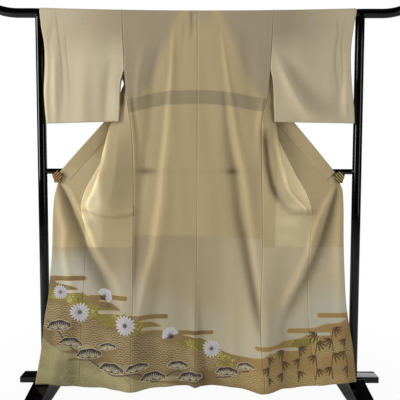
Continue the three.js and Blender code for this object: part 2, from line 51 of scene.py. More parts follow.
# The kimono's own sizes.
kimono = {
    "thickness": 1.2,           # silk and lining together
    "seamLap": 0.15,            # neighbouring pieces overlap this much at a seam
    "collarWidth": 57,
    "collarEndZ": 940,          # seam corner of the collar's cut end
    "okumiCornerZ": 962,        # below here the overlap panel's outer edge is free
    "flushZ": 1020,             # below here the collar lies flush with that panel
    "armholeZ": 1412,           # lower end of the sleeve's seam to the body
    "sideSeamTopZ": 1292,
    "kensakiZ": 1326,           # the overlap panel's pointed top
    "hemRows": 60,              # height of the lowest row, before it is moved onto the hem's own line
    "neckZ": 1624, "neckHalf": 55,
    "wristZ": 1430,             # lower end of the hand opening
    "turnR": 6,                 # radius of the turn where cloth doubles back
}
stand = {"railR": 19, "railZ": 1643, "railSag": 11, "uprightX": 670, "crossbarR": 11.5, "crossbarZ": 983,
         "jointEase": 0.6}
wrapR = stand["railR"] + 2.1                        # middle of the cloth where it lies over the rail

# Millimetres between the mesh's rows along the cloth, and the columns across each piece.
fineness = {"rows": 5.8, "body": 80, "okumi": 30, "collar": 14, "sleeve": 84, "wrap": 14}

centreSeam = [[1660, -10], [860, -11], [350, -15], [60, -20]]          # height, X

# side: outer edge of the back. front: height, outer fold, hidden fold, inner seam. edge: the free front edge.
# collar: seam X, Y, Z and edge X, Y, Z. sleeve: height and X of its inner and outer edge, and the heights of
# its bottom. hem: distance out, height. All X are outward from the middle.
sides = {
    "left": {
        "sign": -1,
        "side": [[1660, 324], [1425, 316], [1290, 305], [1153, 286], [986, 280], [650, 281],
                 [394, 281], [256, 287], [144, 290], [60, 285]],
        "front": [[1612, 324, 84, 84], [1545, 322, 94, 94], [1490, 319, 92, 102], [1412, 323, 109, 142],
                  [1392, 331, 118, 158], [1372, 329, 128, 176], [1352, 323, 140, 194],
                  [1330, 332, 152, 212], [1290, 344, 183, 240], [1250, 348, 215, 268],
                  [1173, 381, 281, 322], [1100, 397, 316, 371], [1069, 404, 330, 391],
                  [983, 420, 375, 440], [903, 447, 432, 482], [841, 474, 468, 499], [790, 440, 462, 492],
                  [734, 400, 445, 484], [530, 390, 440, 489], [392, 385, 440, 501], [60, 388, 446, 514]],
        "edge": [[977, 595], [935, 599], [875, 613], [794, 620], [650, 626], [528, 637], [457, 643],
                 [336, 663], [225, 672], [113, 683], [60, 690]],
        "collar": [[0, 24, 1624, 0, 26, 1569], [55, 24, 1624, 45, 30, 1569], [84, 24.5, 1612, 66, 52, 1570],
                   [91, 26, 1585, 84, 72, 1556], [94, 28, 1545, 116, 66, 1520],
                   [102, 30, 1490, 150, 52, 1487], [142, 33, 1410, 185, 38, 1447],
                   [212, 34, 1330, 255, 28, 1367], [349, 16, 1173, 392, 8, 1210],
                   [440, 2, 1069, 483, -6, 1106], [515, -18, 983, 558, -15.5, 1020],
                   [552, -31, 940, 595, -20, 977]],
        "sleeve": {"inner": [[1660, 324], [1412, 316], [1347, 330], [1216, 335], [1180, 338]],
                   "outer": [[1660, 666], [1582, 658], [1504, 646], [1426, 645], [1321, 649], [1242, 645],
                             [1180, 639]],
                   "bottomInner": 1191, "bottomOuter": 1181},
        "hem": [[20, 60], [60, 66], [170, 60], [285, 57], [400, 60], [514, 64], [580, 72], [626, 85],
                [690, 89]],
    },
    "right": {
        "sign": 1,
        "side": [[1660, 305], [1427, 294], [1290, 282], [1233, 266], [1154, 257], [987, 261], [650, 264],
                 [532, 259], [367, 255], [229, 258], [145, 268], [60, 273]],
        "front": [[1612, 303, 84, 84], [1545, 300, 94, 94], [1490, 297, 92, 104], [1412, 301, 110, 151],
                  [1370, 309, 124, 182], [1330, 310, 142, 216], [1290, 316, 162, 241],
                  [1250, 312, 190, 266], [1173, 325, 233, 312], [1100, 331, 259, 347],
                  [1069, 337, 271, 360], [983, 356, 306, 398], [904, 383, 358, 443], [871, 409, 391, 457],
                  [817, 453, 444, 472], [770, 410, 440, 476], [715, 375, 420, 466], [480, 360, 410, 459],
                  [359, 362, 412, 463], [60, 375, 435, 497]],
        "edge": [[977, 575], [935, 592], [898, 604], [651, 611], [532, 617], [421, 625], [338, 635],
                 [228, 651], [60, 659]],
        "collar": [[0, 24, 1624, 0, 26, 1569], [55, 24, 1624, 52, 30, 1569], [84, 24.5, 1612, 76, 52, 1570],
                   [91, 26, 1585, 90, 72, 1556], [94, 28, 1545, 120, 66, 1520],
                   [104, 30, 1490, 154, 52, 1487], [151, 33, 1410, 194, 38, 1447],
                   [216, 34, 1330, 259, 28, 1367], [343, 16, 1173, 386, 8, 1210],
                   [428, 2, 1069, 471, -6, 1106], [497, -18, 983, 540, -15.5, 1020],
                   [532, -31, 940, 575, -20, 977]],
        "sleeve": {"inner": [[1660, 305], [1412, 294], [1349, 303], [1244, 309], [1180, 311]],
                   "outer": [[1660, 652], [1584, 638], [1506, 629], [1428, 628], [1323, 635], [1244, 643],
                             [1180, 646]],
                   "bottomInner": 1189, "bottomOuter": 1184},
        "hem": [[20, 60], [60, 66], [183, 58], [273, 56], [400, 62], [497, 72], [590, 88], [626, 97],
                [660, 102]],
    },
}

# Where the drape changes: heights, and the reach over which it does so.
drape = {
    "calm": 1630, "calmReach": 160,         # the back's folds die out towards the rail
    "bend": 1560, "bendReach": 80,          # above here the cloth leans over onto the rail
    "hem": 560,                             # below here rows follow the hem's own line
    "slack": 930, "slackReach": 120,        # below the clips the fronts hang unevenly too
    "sideCalm": 40,                         # by the side seam a front keeps the back's own folds
    "frontTop": 1612, "sleeveTop": 1640, "sleeveLow": 1180,
}

# Depth (Y) by height: the back, the outer fold, the hidden fold, the inner seam, the front edge, the belly.
depths = {
    "columns": ["back", "rim", "fold", "inner", "edge", "belly"],
    "rows": [[1620, -20.8, 22, 24, 25, 0, 0], [1490, -22, 10, 27, 30, 0, 0], [1410, -24, 6, 24, 33, 0, 0],
             [1330, -26, 7, 24, 34, 0, 0], [1290, -27, 5, 24, 34, 0, 0], [1250, -27, 0, 22, 32, 0, 2],
             [1173, -28, -10, 14, 26, 0, 5], [1100, -29, -28, 4, 14, 0, 11],
             [1069, -29, -36, -2, 8, 0, 13], [1020, -30, -46, -18, -14, 0, 15],
             [983, -30, -51, -31, -23, -16, 16], [903, -31, -54, -41, -33, -24, 16],
             [841, -33, -52, -44, -36, -27, 11], [790, -34, -45, -43, -38, -28, 4],
             [734, -35, -40, -40, -38, -29, 0], [400, -38, -42, -42, -40, -32, 0],
             [250, -39, -43, -43, -41, -38, 0], [60, -40, -50, -48, -50, -80, 0]],
}

# Swellings that grow towards the hem: where, how wide, how deep at the hem, where they start.
hemWaves = {
    "left": [[-288, 62, 46, 900], [-60, 46, -5, 600], [-20, 18, 12, 700]],
    "right": [[270, 66, 56, 900], [40, 42, -4, 600], [-20, 18, 12, 700]],
}

# Folds, each a run of rows from its top to its lower end: height, X, how far it reaches to the left and to
# the right of its line, how far it stands out (a trough is negative) and how dark it lies.
# shade is painted shade lying in the fold; where it is negative it is a painted highlight.
foldColumns = ["z", "x", "left", "right", "rise", "shade"]
backFolds = {
    "ridge under the left collar": [
        [1625, -111, 6, 8, 0, 0], [1534, -112, 8, 12, 4, -0.1], [1408, -116, 10, 16, 6, -0.16],
        [1282, -126, 12, 22, 8, -0.22], [1156, -134, 15, 30, 11, -0.22], [1072, -140, 17, 34, 13, -0.24],
        [988, -149, 19, 38, 15, -0.26], [905, -155, 20, 40, 16, -0.26], [842, -161, 20, 40, 17, -0.26],
        [800, -168, 20, 38, 17, -0.26], [737, -178, 20, 38, 17, -0.26], [652, -190, 20, 38, 17, -0.26],
        [527, -222, 20, 36, 16, -0.26], [400, -247, 19, 34, 12, -0.22], [320, -262, 18, 30, 6, -0.1],
        [250, -275, 18, 26, 0, 0]],
    "trough beside it": [
        [1560, -148, 10, 10, 0, 0], [1408, -194, 24, 20, -3, 0.1], [1282, -204, 22, 20, -4, 0.14],
        [1156, -216, 22, 20, -5, 0.18], [1072, -230, 24, 22, -7, 0.2], [988, -240, 26, 24, -9, 0.28],
        [905, -252, 24, 24, -9, 0.24], [842, -256, 22, 24, -9, 0.26], [737, -262, 18, 24, -9, 0.3],
        [652, -264, 16, 24, -9, 0.34], [527, -272, 12, 16, -6, 0.26], [440, -276, 10, 12, 0, 0]],
    "ridge under the right collar": [
        [1615, 84, 6, 5, 0, 0], [1500, 98, 8, 7, 3, -0.1], [1345, 120, 10, 12, 5, -0.14],
        [1282, 130, 12, 14, 6, -0.15], [1156, 150, 14, 18, 8, -0.16], [1072, 164, 16, 22, 10, -0.2],
        [988, 182, 17, 26, 12, -0.22], [905, 196, 17, 27, 12, -0.2], [842, 205, 16, 27, 11, -0.18],
        [724, 222, 15, 26, 9, -0.14], [520, 250, 14, 18, 6, -0.08], [400, 257, 12, 14, 3, 0]],
    "trough beside the right ridge": [
        [1330, 98, 8, 6, 0, 0], [1282, 104, 12, 8, -3, 0.16], [1156, 117, 18, 10, -5, 0.24],
        [1072, 131, 22, 12, -7, 0.3], [988, 147, 24, 14, -9, 0.4], [905, 158, 24, 15, -9, 0.4],
        [842, 163, 24, 16, -10, 0.44], [760, 176, 25, 16, -11, 0.5], [699, 190, 25, 16, -11, 0.56],
        [560, 213, 23, 15, -10, 0.62], [455, 231, 22, 15, -8, 0.66], [400, 240, 20, 15, -7, 0.62],
        [320, 254, 18, 14, -4, 0.36], [250, 262, 14, 12, 0, 0]],
    "pleat by the neck": [[1662, -37, 5, 5, -2.5, 0.42], [1590, -36, 6, 6, -3, 0.36],
                          [1515, -37, 7, 7, 0, 0]],
    "small pleat by the neck": [[1640, -64, 5, 5, 0, 0], [1560, -68, 4, 5, -1.5, 0.14],
                                [1440, -76, 6, 6, 0, 0]],
    "left shoulder": [
        [1630, -150, 22, 18, 0, 0], [1520, -172, 30, 20, -2, 0.02], [1400, -196, 34, 26, -3, 0.08],
        [1270, -214, 30, 26, -3, 0.1], [1150, -232, 24, 24, 0, 0]],
    "left shoulder ridge": [
        [1560, -212, 14, 12, 0, 0], [1420, -248, 16, 12, 3, -0.08], [1290, -262, 14, 10, 3, -0.1],
        [1160, -262, 14, 10, 0, 0]],
    "right shoulder": [
        [1600, 176, 24, 26, 0, 0], [1450, 196, 30, 30, -3, 0.06], [1300, 216, 26, 26, -4, 0.08],
        [1150, 226, 22, 20, 0, 0]],
    "right armhole ridge": [
        [1310, 268, 12, 8, 0, 0], [1250, 258, 12, 7, 4, -0.16], [1150, 246, 14, 8, 4, -0.14],
        [1000, 246, 14, 10, 0, 0]],
    "left armhole trough": [
        [1330, -284, 8, 10, 0, 0], [1240, -276, 8, 12, -4, 0.26], [1120, -262, 10, 14, -4, 0.22],
        [980, -262, 10, 12, -2, 0.1], [860, -266, 10, 12, 0, 0]],
    "hem flute by the middle": [
        [480, -6, 18, 20, 0, 0], [340, 2, 20, 22, -3, 0.12], [200, 10, 20, 26, -5, 0.2],
        [60, 14, 20, 28, -6, 0.2]],
    "hem flute on the right": [
        [520, 120, 26, 24, 0, 0], [330, 134, 28, 26, 3, -0.08], [180, 140, 28, 26, 5, -0.1],
        [60, 144, 28, 26, 6, -0.06]],
    "hem flute on the left": [
        [460, -150, 30, 26, 0, 0], [300, -146, 30, 26, 3, -0.06], [160, -140, 30, 26, 5, -0.06],
        [60, -136, 30, 26, 6, 0]],
}
frontFolds = {
    "valley from the left clip": [
        [942, -594, 9, 7, 0, 0], [925, -588, 10, 7, -5, 0.42], [900, -574, 14, 8, -8, 0.66],
        [842, -547, 26, 9, -12, 0.76], [800, -530, 32, 8, -13, 0.7], [737, -504, 38, 9, -14, 0.62],
        [652, -474, 40, 12, -12, 0.54], [527, -412, 44, 18, -9, 0.5], [442, -384, 28, 16, -7, 0.3],
        [360, -362, 20, 14, 0, 0]],
    "crest right of it": [
        [942, -588, 8, 8, 0, 0], [905, -549, 9, 11, 3, -0.26], [842, -514, 10, 13, 6, -0.34],
        [800, -492, 10, 14, 8, -0.36], [737, -464, 11, 15, 8, -0.36], [652, -431, 13, 18, 7, -0.3],
        [527, -358, 17, 22, 6, -0.26], [442, -330, 17, 18, 4, -0.14], [380, -318, 16, 14, 0, 0]],
    "left edge": [
        [930, -606, 8, 8, 0, 0], [842, -590, 16, 16, 6, -0.24], [800, -584, 18, 18, 8, -0.28],
        [737, -567, 20, 20, 9, -0.34], [652, -572, 20, 20, 9, -0.34], [527, -556, 22, 20, 7, -0.26],
        [400, -532, 24, 18, 5, -0.14], [250, -590, 24, 24, 5, 0], [70, -610, 24, 24, 6, 0]],
    "left hem trough": [
        [470, -500, 18, 20, 0, 0], [330, -516, 20, 22, -4, 0.12], [180, -530, 22, 24, -5, 0.16],
        [60, -540, 24, 26, -6, 0.14]],
    "left hem flute": [
        [400, -380, 26, 26, 0, 0], [260, -372, 28, 26, 4, -0.06], [60, -366, 28, 26, 7, -0.04]],
    "crest from the right clip": [
        [942, 574, 8, 8, 0, 0], [900, 560, 9, 9, 3, -0.24], [842, 528, 12, 10, 6, -0.34],
        [774, 496, 13, 12, 7, -0.34], [657, 464, 15, 12, 6, -0.24], [547, 420, 18, 14, 5, -0.2],
        [468, 380, 20, 16, 4, -0.16], [400, 348, 18, 16, 2, -0.08], [340, 328, 14, 12, 0, 0]],
    "valley from the right clip": [
        [942, 586, 8, 8, 0, 0], [905, 576, 9, 14, -5, 0.5], [842, 560, 9, 22, -9, 0.62],
        [800, 548, 10, 28, -11, 0.64], [737, 530, 12, 34, -11, 0.62], [652, 504, 14, 38, -10, 0.58],
        [547, 460, 16, 36, -8, 0.5], [468, 420, 17, 34, -7, 0.44], [400, 388, 17, 30, -5, 0.36],
        [330, 356, 16, 24, 0, 0]],
    "right edge": [
        [900, 600, 10, 8, 0, 0], [780, 588, 20, 12, 4, -0.2], [640, 586, 26, 14, 6, -0.24],
        [420, 596, 26, 16, 5, -0.14], [200, 612, 24, 18, 5, 0], [70, 624, 24, 18, 6, 0]],
    "right hem trough": [
        [420, 350, 18, 18, 0, 0], [280, 352, 20, 20, -4, 0.12], [60, 356, 22, 22, -6, 0.14]],
    "right hem edge": [[420, 636, 30, 20, 0, 0], [300, 644, 44, 24, 0, 0.3], [60, 650, 50, 24, 0, 0.36]],
    "right hem flute": [
        [380, 500, 24, 24, 0, 0], [220, 512, 26, 26, 4, -0.04], [60, 520, 26, 26, 6, -0.04]],
}
sleeveFolds = {
    "right, from the armhole": [
        [1500, 306, 10, 10, 0, 0], [1408, 336, 16, 14, 5, -0.2], [1345, 366, 20, 16, 7, -0.26],
        [1282, 399, 26, 18, 8, -0.28], [1230, 432, 30, 22, 7, -0.22], [1195, 458, 30, 24, 4, -0.1]],
    "right, under it": [
        [1480, 336, 10, 14, 0, 0], [1408, 384, 22, 26, -4, 0.3], [1345, 418, 22, 40, -6, 0.32],
        [1282, 462, 26, 60, -7, 0.3], [1230, 512, 34, 56, -5, 0.22], [1190, 545, 30, 40, 0, 0]],
    "right, from the shoulder": [
        [1640, 330, 16, 16, 0, 0], [1560, 372, 30, 30, -1.6, 0.02], [1450, 470, 60, 50, -2.6, 0.05],
        [1350, 600, 60, 40, 0, 0]],
    "right, outer edge": [
        [1500, 608, 14, 10, 0, 0], [1410, 606, 14, 12, 3, -0.1], [1282, 604, 14, 12, 5, -0.34],
        [1230, 606, 16, 12, 4, -0.2], [1186, 612, 16, 12, 0, 0]],
    "right, pressed": [
        [1640, 560, 6, 6, 0, 0], [1560, 572, 5, 5, -1, 0.2], [1450, 562, 5, 4, -1, 0.24],
        [1330, 574, 5, 5, -0.8, 0.18], [1240, 570, 6, 6, 0, 0]],
    "right, pressed beside it": [
        [1630, 600, 5, 5, 0, 0], [1520, 588, 4, 4, -0.9, 0.2], [1380, 592, 4, 5, -0.9, 0.2],
        [1280, 580, 5, 5, 0, 0]],
    "left, pressed": [
        [1655, -598, 4, 4, 0, 0], [1600, -594, 4, 4, -1, 0.28], [1480, -580, 4, 4, -1.1, 0.24],
        [1330, -572, 5, 5, -0.9, 0.18], [1220, -574, 5, 5, 0, 0]],
    "left, pressed beside it": [
        [1600, -562, 4, 4, 0, 0], [1500, -556, 4, 4, -0.9, 0.2], [1400, -548, 4, 4, -0.9, 0.18],
        [1260, -540, 5, 5, 0, 0]],
    "left, middle": [
        [1600, -470, 40, 40, 0, 0], [1450, -480, 40, 34, 5, -0.05], [1300, -486, 36, 30, 6, -0.06],
        [1182, -490, 36, 30, 5, -0.04]],
    "left, inner trough": [
        [1460, -372, 14, 16, 0, 0], [1360, -386, 20, 18, -5, 0.16], [1260, -392, 22, 18, -6, 0.12],
        [1182, -396, 22, 18, -4, 0.08]],
    "left, by the armhole": [
        [1430, -340, 8, 8, 0, 0], [1360, -350, 12, 8, 4, -0.12], [1260, -350, 14, 8, 5, -0.2],
        [1185, -350, 14, 8, 4, -0.14]],
    "left, outer edge": [
        [1560, -640, 8, 8, 0, 0], [1430, -634, 9, 7, 3, -0.3], [1290, -640, 10, 8, 4, -0.38],
        [1187, -634, 10, 8, 3, -0.24]],
    "left, beside it": [
        [1500, -602, 10, 8, 0, 0], [1410, -604, 10, 10, 3, -0.24], [1290, -604, 12, 12, 3, -0.22],
        [1186, -600, 12, 12, 2, -0.1]],
    "left, outer corner": [
        [1650, -600, 10, 10, 0, 0], [1600, -612, 12, 10, -3, 0.12], [1520, -622, 12, 10, -2, 0.08],
        [1430, -628, 10, 10, 0, 0]],
    "left, outer trough": [
        [1560, -566, 20, 20, 0, 0], [1420, -572, 22, 20, -3, 0.08], [1280, -580, 22, 18, -4, 0.08],
        [1182, -584, 20, 18, -3, 0.06]],
}

# The bottoms of the two pouches where the fronts swing back: X and height along the soft edge.
pouchEdges = {
    "left": [[-500, 845], [-482, 826], [-462, 815], [-408, 797], [-353, 794], [-303, 800], [-284, 806]],
    "right": [[262, 1150], [268, 1090], [276, 1008], [293, 925], [314, 872], [344, 833], [373, 814],
              [411, 808], [456, 818], [476, 826]],
}
# lift shapes the pouch; shade is a painted shadow along its bottom edge.
pouch = {
    "lift": {"left": 5, "right": 10}, "inside": 20, "outside": 5,
    "shadeAt": {"left": 4, "right": -5}, "shadeReach": {"left": 7, "right": 13},
    "shade": {"left": 0.14, "right": 0.85},
    "shadeTop": {"left": 900, "right": 1190}, "shadeLow": {"left": 760, "right": 835},
}
# Painted light where light comes through only one layer: X, height, reach across and down, strength.
lightSpots = {
    "left": [[-446, 846, 34, 34, 1.0], [-434, 912, 20, 46, 0.9], [-482, 792, 40, 22, 0.6],
             [-470, 715, 46, 40, 0.25], [-400, 1069, 12, 70, 0.5]],
    "right": [[372, 775, 50, 30, 0.35], [395, 835, 40, 24, 0.3], [360, 700, 40, 24, 0.2],
              [345, 1090, 16, 60, 0.6], [360, 990, 14, 50, 0.5]],
}
# Painted light and a painted highlight on the strip by the inner seam: each side's strength, and the heights
# it fades between.
innerStrip = {"left": 0.6, "right": 0.72, "top": 1180, "low": 800}
# Where a front shows in the gap between the back and a sleeve, with painted shade and painted light there.
armGap = {"x": 304, "low": 1230, "top": 1450, "shade": 0.8, "glow": 0.5}
# A painted highlight just inside each pouch's rim.
rimLight = {"left": [4, 9, 0.6], "right": [9, 10, 0.55]}        # inside the rim, reach, strength

# Long slow unevenness of hanging silk: wavelengths across and down, phase and height.
slowWaves = [[95, 900, 0.3, 0.5], [143, -1100, 4.1, 0.8], [210, 520, 2.2, 0.7], [61, 700, 1.9, 0.16],
             [330, 260, 0.9, 0.8]]


# Small helpers, all on whole arrays.
def clamp01(v):
    return np.clip(v, 0.0, 1.0)


def mix(a, b, t):
    return a + (b - a) * t


def smooth(t):
    c = clamp01(t)
    return c * c * (3 - 2 * c)


# 0 at a height or place and 1 well past it, softly over a reach; below goes the other way.
def past(value, at, reach):
    return smooth((value - at) / reach)


def below(value, at, reach):
    return smooth((at - value) / reach)


# Smooth curve through rows [key, ..., value, ...].
def along(rows, key, column=1):
    table = np.array(sorted(rows, key=lambda r: r[0]), float)
    keys, values = table[:, 0], table[:, column]
    last = len(keys) - 1
    before = np.maximum(np.arange(last + 1) - 1, 0)
    after = np.minimum(np.arange(last + 1) + 1, last)
    slopes = (values[after] - values[before]) / (keys[after] - keys[before])
    at = np.clip(key, keys[0], keys[-1])
    i = np.clip(np.searchsorted(keys, at) - 1, 0, last - 1)
    span = keys[i + 1] - keys[i]
    t = (at - keys[i]) / span
    t2, t3 = t * t, t * t * t
    return ((2 * t3 - 3 * t2 + 1) * values[i] + (t3 - 2 * t2 + t) * span * slopes[i]
            + (3 * t2 - 2 * t3) * values[i + 1] + (t3 - t2) * span * slopes[i + 1])


def depth(name, z):
    return along(depths["rows"], z, 1 + depths["columns"].index(name))


# Adds up a table of folds at each point: how far the cloth stands out, and its painted shade (a painted
# highlight where negative).
def foldSums(folds, x, z):
    x, z = np.broadcast_arrays(np.asarray(x, float), np.asarray(z, float))
    rise, shade = np.zeros(x.shape), np.zeros(x.shape)
    for rows in folds.values():
        lineX, left, right, up, dark = (along(rows, z, column) for column in range(1, len(foldColumns)))
        lean = (along(rows, z + 4, 1) - along(rows, z - 4, 1)) / 8
        off = (x - lineX) / np.sqrt(1 + lean * lean)
        weight = np.exp(-(off / np.where(off < 0, left, right)) ** 2)
        rise += up * weight
        shade += dark * weight
    return rise, shade


def relief(folds, x, z):
    return foldSums(folds, x, z)[0]


def slowUneven(x, z):
    return sum(height * np.sin(2 * math.pi * (x / across + z / down) + phase)
               for across, down, phase, height in slowWaves)


# Signed distance to a line of points: positive inside the pouch, on the left of the line's direction.
def lineDistance(points, x, z):
    x, z = np.broadcast_arrays(np.asarray(x, float), np.asarray(z, float))
    nearest = np.full(x.shape, 1e9)
    signed = np.zeros(x.shape)
    for (x0, z0), (x1, z1) in zip(points, points[1:]):
        dx, dz = x1 - x0, z1 - z0
        length = math.hypot(dx, dz)
        t = clamp01(((x - x0) * dx + (z - z0) * dz) / length ** 2)
        away = np.hypot(x - x0 - t * dx, z - z0 - t * dz)
        side = (dx * (z - z0) - dz * (x - x0)) / length
        closer = away < nearest
        signed = np.where(closer, np.where(side >= 0, away, -away), signed)
        nearest = np.minimum(nearest, away)
    return signed


def pouchOff(side, x, z):
    return lineDistance(pouchEdges[side], x, z)


def pouchLift(side, out, z):
    off = pouchOff(side, sides[side]["sign"] * out, z)
    reach = np.where(off > 0, pouch["inside"], pouch["outside"])
    return pouch["lift"][side] * np.exp(-(off / reach) ** 2)


def hemSwell(side, x, z):
    total = np.zeros(np.broadcast(x, z).shape)
    for waveX, width, deep, start in hemWaves[side]:
        grown = below(z, start, start - kimono["hemRows"])
        total = total + deep * grown * np.exp(-((x - waveX) / width) ** 2)
    return total


def railAxisZ(x):
    out = np.abs(x) / (stand["uprightX"] + 20)
    return stand["railZ"] - stand["railSag"] * np.maximum(0, 1 - out * out)


def hemLine(side, x, z):
    rise = along(sides[side]["hem"], np.abs(x)) - kimono["hemRows"]
    return z + rise * below(z, drape["hem"], drape["hem"] - kimono["hemRows"])


def sideX(side, z):
    return along(sides[side]["side"], z)


def seamRows(side):
    return [[r[2], r[0], r[1], r[3], r[4], r[5]] for r in sides[side]["collar"][2:]]


# The cloth's mid surfaces are grids of points, in rows from top to bottom or bottom to top.
def levelsBetween(low, high):
    return np.linspace(low, high, max(2, round(abs(high - low) / fineness["rows"])) + 1)


def backGrid(side):
    sign = sides[side]["sign"]
    level = levelsBetween(kimono["hemRows"], stand["railZ"])[:, None]
    across = np.linspace(0, 1, fineness["body"] + 1)[None, :]
    inner = sign * along(centreSeam, level) - kimono["seamLap"]
    x = sign * mix(inner, sideX(side, level), across)
    calm = below(level, drape["calm"], drape["calmReach"])
    y = depth("back", level) - (relief(backFolds, x, level) + slowUneven(x, level)) * calm
    y = y - hemSwell(side, x, level)
    high = past(level, drape["bend"], stand["railZ"] - drape["bend"])
    y = mix(y, -wrapR, high)
    z = hemLine(side, x, level) + (railAxisZ(x) - stand["railZ"]) * high
    return np.stack(np.broadcast_arrays(x, y, z), -1)


def wrapGrid(edges):
    turn = np.linspace(-90, 90, fineness["wrap"] + 1)[1:, None] * math.pi / 180
    x = edges[None, :]
    y = wrapR * np.sin(turn) + 0 * x
    z = railAxisZ(x) + wrapR * np.cos(turn)
    return np.stack(np.broadcast_arrays(x, y, z), -1)


# Corners of one level of a front panel, outward distance and depth, from the side edge to the inner seam.
def frontCorners(side, z):
    s, turnR = sides[side], kimono["turnR"]
    edgeX = sideX(side, z)
    joined = below(z, kimono["sideSeamTopZ"] + 60, 60)
    freeY = along([[1620, 21], [kimono["armholeZ"], 0], [kimono["sideSeamTopZ"], -12]], z)
    backY = depth("back", z) - relief(backFolds, s["sign"] * edgeX, z) - slowUneven(s["sign"] * edgeX, z)
    edgeY = mix(freeY, backY, joined)
    seam = seamRows(side)
    upper = np.array([along(seam, z, 1), along(seam, z, 2)])
    lower = np.array([along(s["front"], z, 3), depth("inner", z)])
    inner = mix(lower, upper, past(z, kimono["kensakiZ"] - 20, 20))
    rim = np.array([along(s["front"], z, 1), depth("rim", z)])
    fold = np.array([along(s["front"], z, 2), depth("fold", z)])
    lap = smooth((rim[0] - fold[0]) / (3 * turnR))          # 1 where the cloth doubles back
    out = smooth((rim[0] - edgeX) / (3 * turnR))
    back = smooth((inner[0] - fold[0]) / (1.5 * turnR))
    edge = np.array([edgeX, edgeY])
    belly = mix(edge, rim, 0.5) - np.array([0, depth("belly", z)])
    return np.array([
        edge, belly,
        rim + np.array([-turnR * out, -turnR * lap * out]), rim + np.array([1.5 * lap * out, 0]),
        rim + np.array([-turnR * (2 * lap - 1) * out, turnR * lap * out]),
        fold + np.array([turnR * (2 * lap - 1), -turnR * lap * back]), fold - np.array([1.5 * lap * back, 0]),
        fold + np.array([turnR * back, turnR * back * lap]), inner,
    ])


# Rounds a chain of corners off and spreads columns along it, closer together where it turns.
def spreadAlong(corners, columns, softness=3.4, turnWeight=20, fine=520):
    steps = np.hypot(*np.diff(corners, axis=0).T)
    run = np.concatenate([[0], np.cumsum(steps)])
    at = np.linspace(0, run[-1], fine)
    line = np.stack([np.interp(at, run, corners[:, c]) for c in (0, 1)], 1)
    reach = int(3 * softness / (run[-1] / fine))
    kernel = np.exp(-0.5 * (np.arange(-reach, reach + 1) * run[-1] / fine / softness) ** 2)
    kernel /= kernel.sum()
    padded = np.concatenate([2 * line[0] - line[reach:0:-1], line, 2 * line[-1] - line[-2:-reach - 2:-1]])
    soft = np.stack([np.convolve(padded[:, c], kernel, "valid") for c in (0, 1)], 1)
    move = np.diff(soft, axis=0)
    size = np.hypot(*move.T)
    heading = np.unwrap(np.arctan2(move[:, 1], move[:, 0]))
    turn = np.abs(np.gradient(heading))
    weight = np.concatenate([[0], np.cumsum(size + turnWeight * turn)])
    length = np.concatenate([[0], np.cumsum(size)])
    want = np.linspace(0, weight[-1], columns + 1)
    spread = np.stack([np.interp(want, weight, soft[:, c]) for c in (0, 1)], 1)
    return spread, np.interp(want, weight, length)


def drapedPoint(side, out, y, z):
    x = sides[side]["sign"] * out
    low = below(z, drape["slack"], drape["slackReach"])
    fade = past(np.abs(x) - sideX(side, z), 0, drape["sideCalm"])
    y = y - relief(frontFolds, x, z) * fade - slowUneven(x, z) * low * fade - hemSwell(side, x, z)
    return np.stack(np.broadcast_arrays(x, y, hemLine(side, x, z)), -1)


def frontGrid(side):
    rows, lengths, nearest, strips, rims = [], [], [], [], []
    for z in levelsBetween(drape["frontTop"], kimono["hemRows"]):
        line, run = spreadAlong(frontCorners(side, z), fineness["body"])
        goesBack = np.diff(line[:, 0], prepend=line[0, 0]) < -0.05
        firstStretch = np.cumsum(goesBack) == 0
        lastStretch = (np.cumsum(goesBack) > 0) & (np.cumsum(goesBack[::-1])[::-1] == 0)
        points = drapedPoint(side, line[:, 0], line[:, 1], z)
        points[:, 1] -= pouchLift(side, line[:, 0], z) * firstStretch
        rows.append(points[::-1])
        lengths.append(run[::-1])
        nearest.append(firstStretch[::-1])
        strips.append(lastStretch[::-1])
        rims.append(((line[:, 0] - line[firstStretch, 0].max()) if goesBack.any() else 0 * run - 99)[::-1])
    return (np.array(rows), np.array(lengths), np.array(nearest, float), np.array(strips, float),
            np.array(rims))


def bodyGrid(side):
    sign = sides[side]["sign"]
    back = backGrid(side)
    across = np.linspace(0, 1, fineness["body"] + 1)
    middle = sign * float(along(centreSeam, stand["railZ"])) - kimono["seamLap"]
    wrap = wrapGrid(sign * mix(middle, float(sideX(side, stand["railZ"])), across))
    neck = []
    for z, inner in ((kimono["neckZ"] + 1.6, middle), (kimono["neckZ"], kimono["neckHalf"])):
        x = sign * mix(inner, float(sideX(side, z)), across)
        neck.append(np.stack([x, np.full_like(x, wrapR + 0.4), np.full_like(x, z)], -1))
    front, frontRun, nearest, strip, rim = frontGrid(side)
    grid = np.concatenate([back, wrap, np.array(neck), front])
    backRun = (1 - across)[None, :] * np.abs(back[:, -1:, 0] - back[:, :1, 0])
    upper = np.repeat(backRun[-1:], len(wrap) + len(neck), 0)
    run = np.concatenate([backRun, upper, frontRun])           # distance from the side seam
    behind = len(back) + len(wrap) + len(neck)
    isFront = np.concatenate([np.zeros(len(back) + len(wrap)), np.ones(len(neck) + len(front))])
    above = np.zeros((behind, len(across)))
    stretches = {"nearest": np.concatenate([above, nearest]), "strip": np.concatenate([above, strip]),
                 "rim": np.concatenate([above - 99, rim])}
    return grid, run, isFront, stretches


# Depth of the overlap panel carried on towards the clip, where the collar's end lies flush with it.
def okumiPlane(side, out, z):
    front, edge = sides[side]["front"], sides[side]["edge"]
    share = (out - along(front, z, 3)) / (along(edge, z) - along(front, z, 3))
    plane = mix(depth("inner", z), depth("edge", z), share)
    return plane - relief(frontFolds, sides[side]["sign"] * out, z)


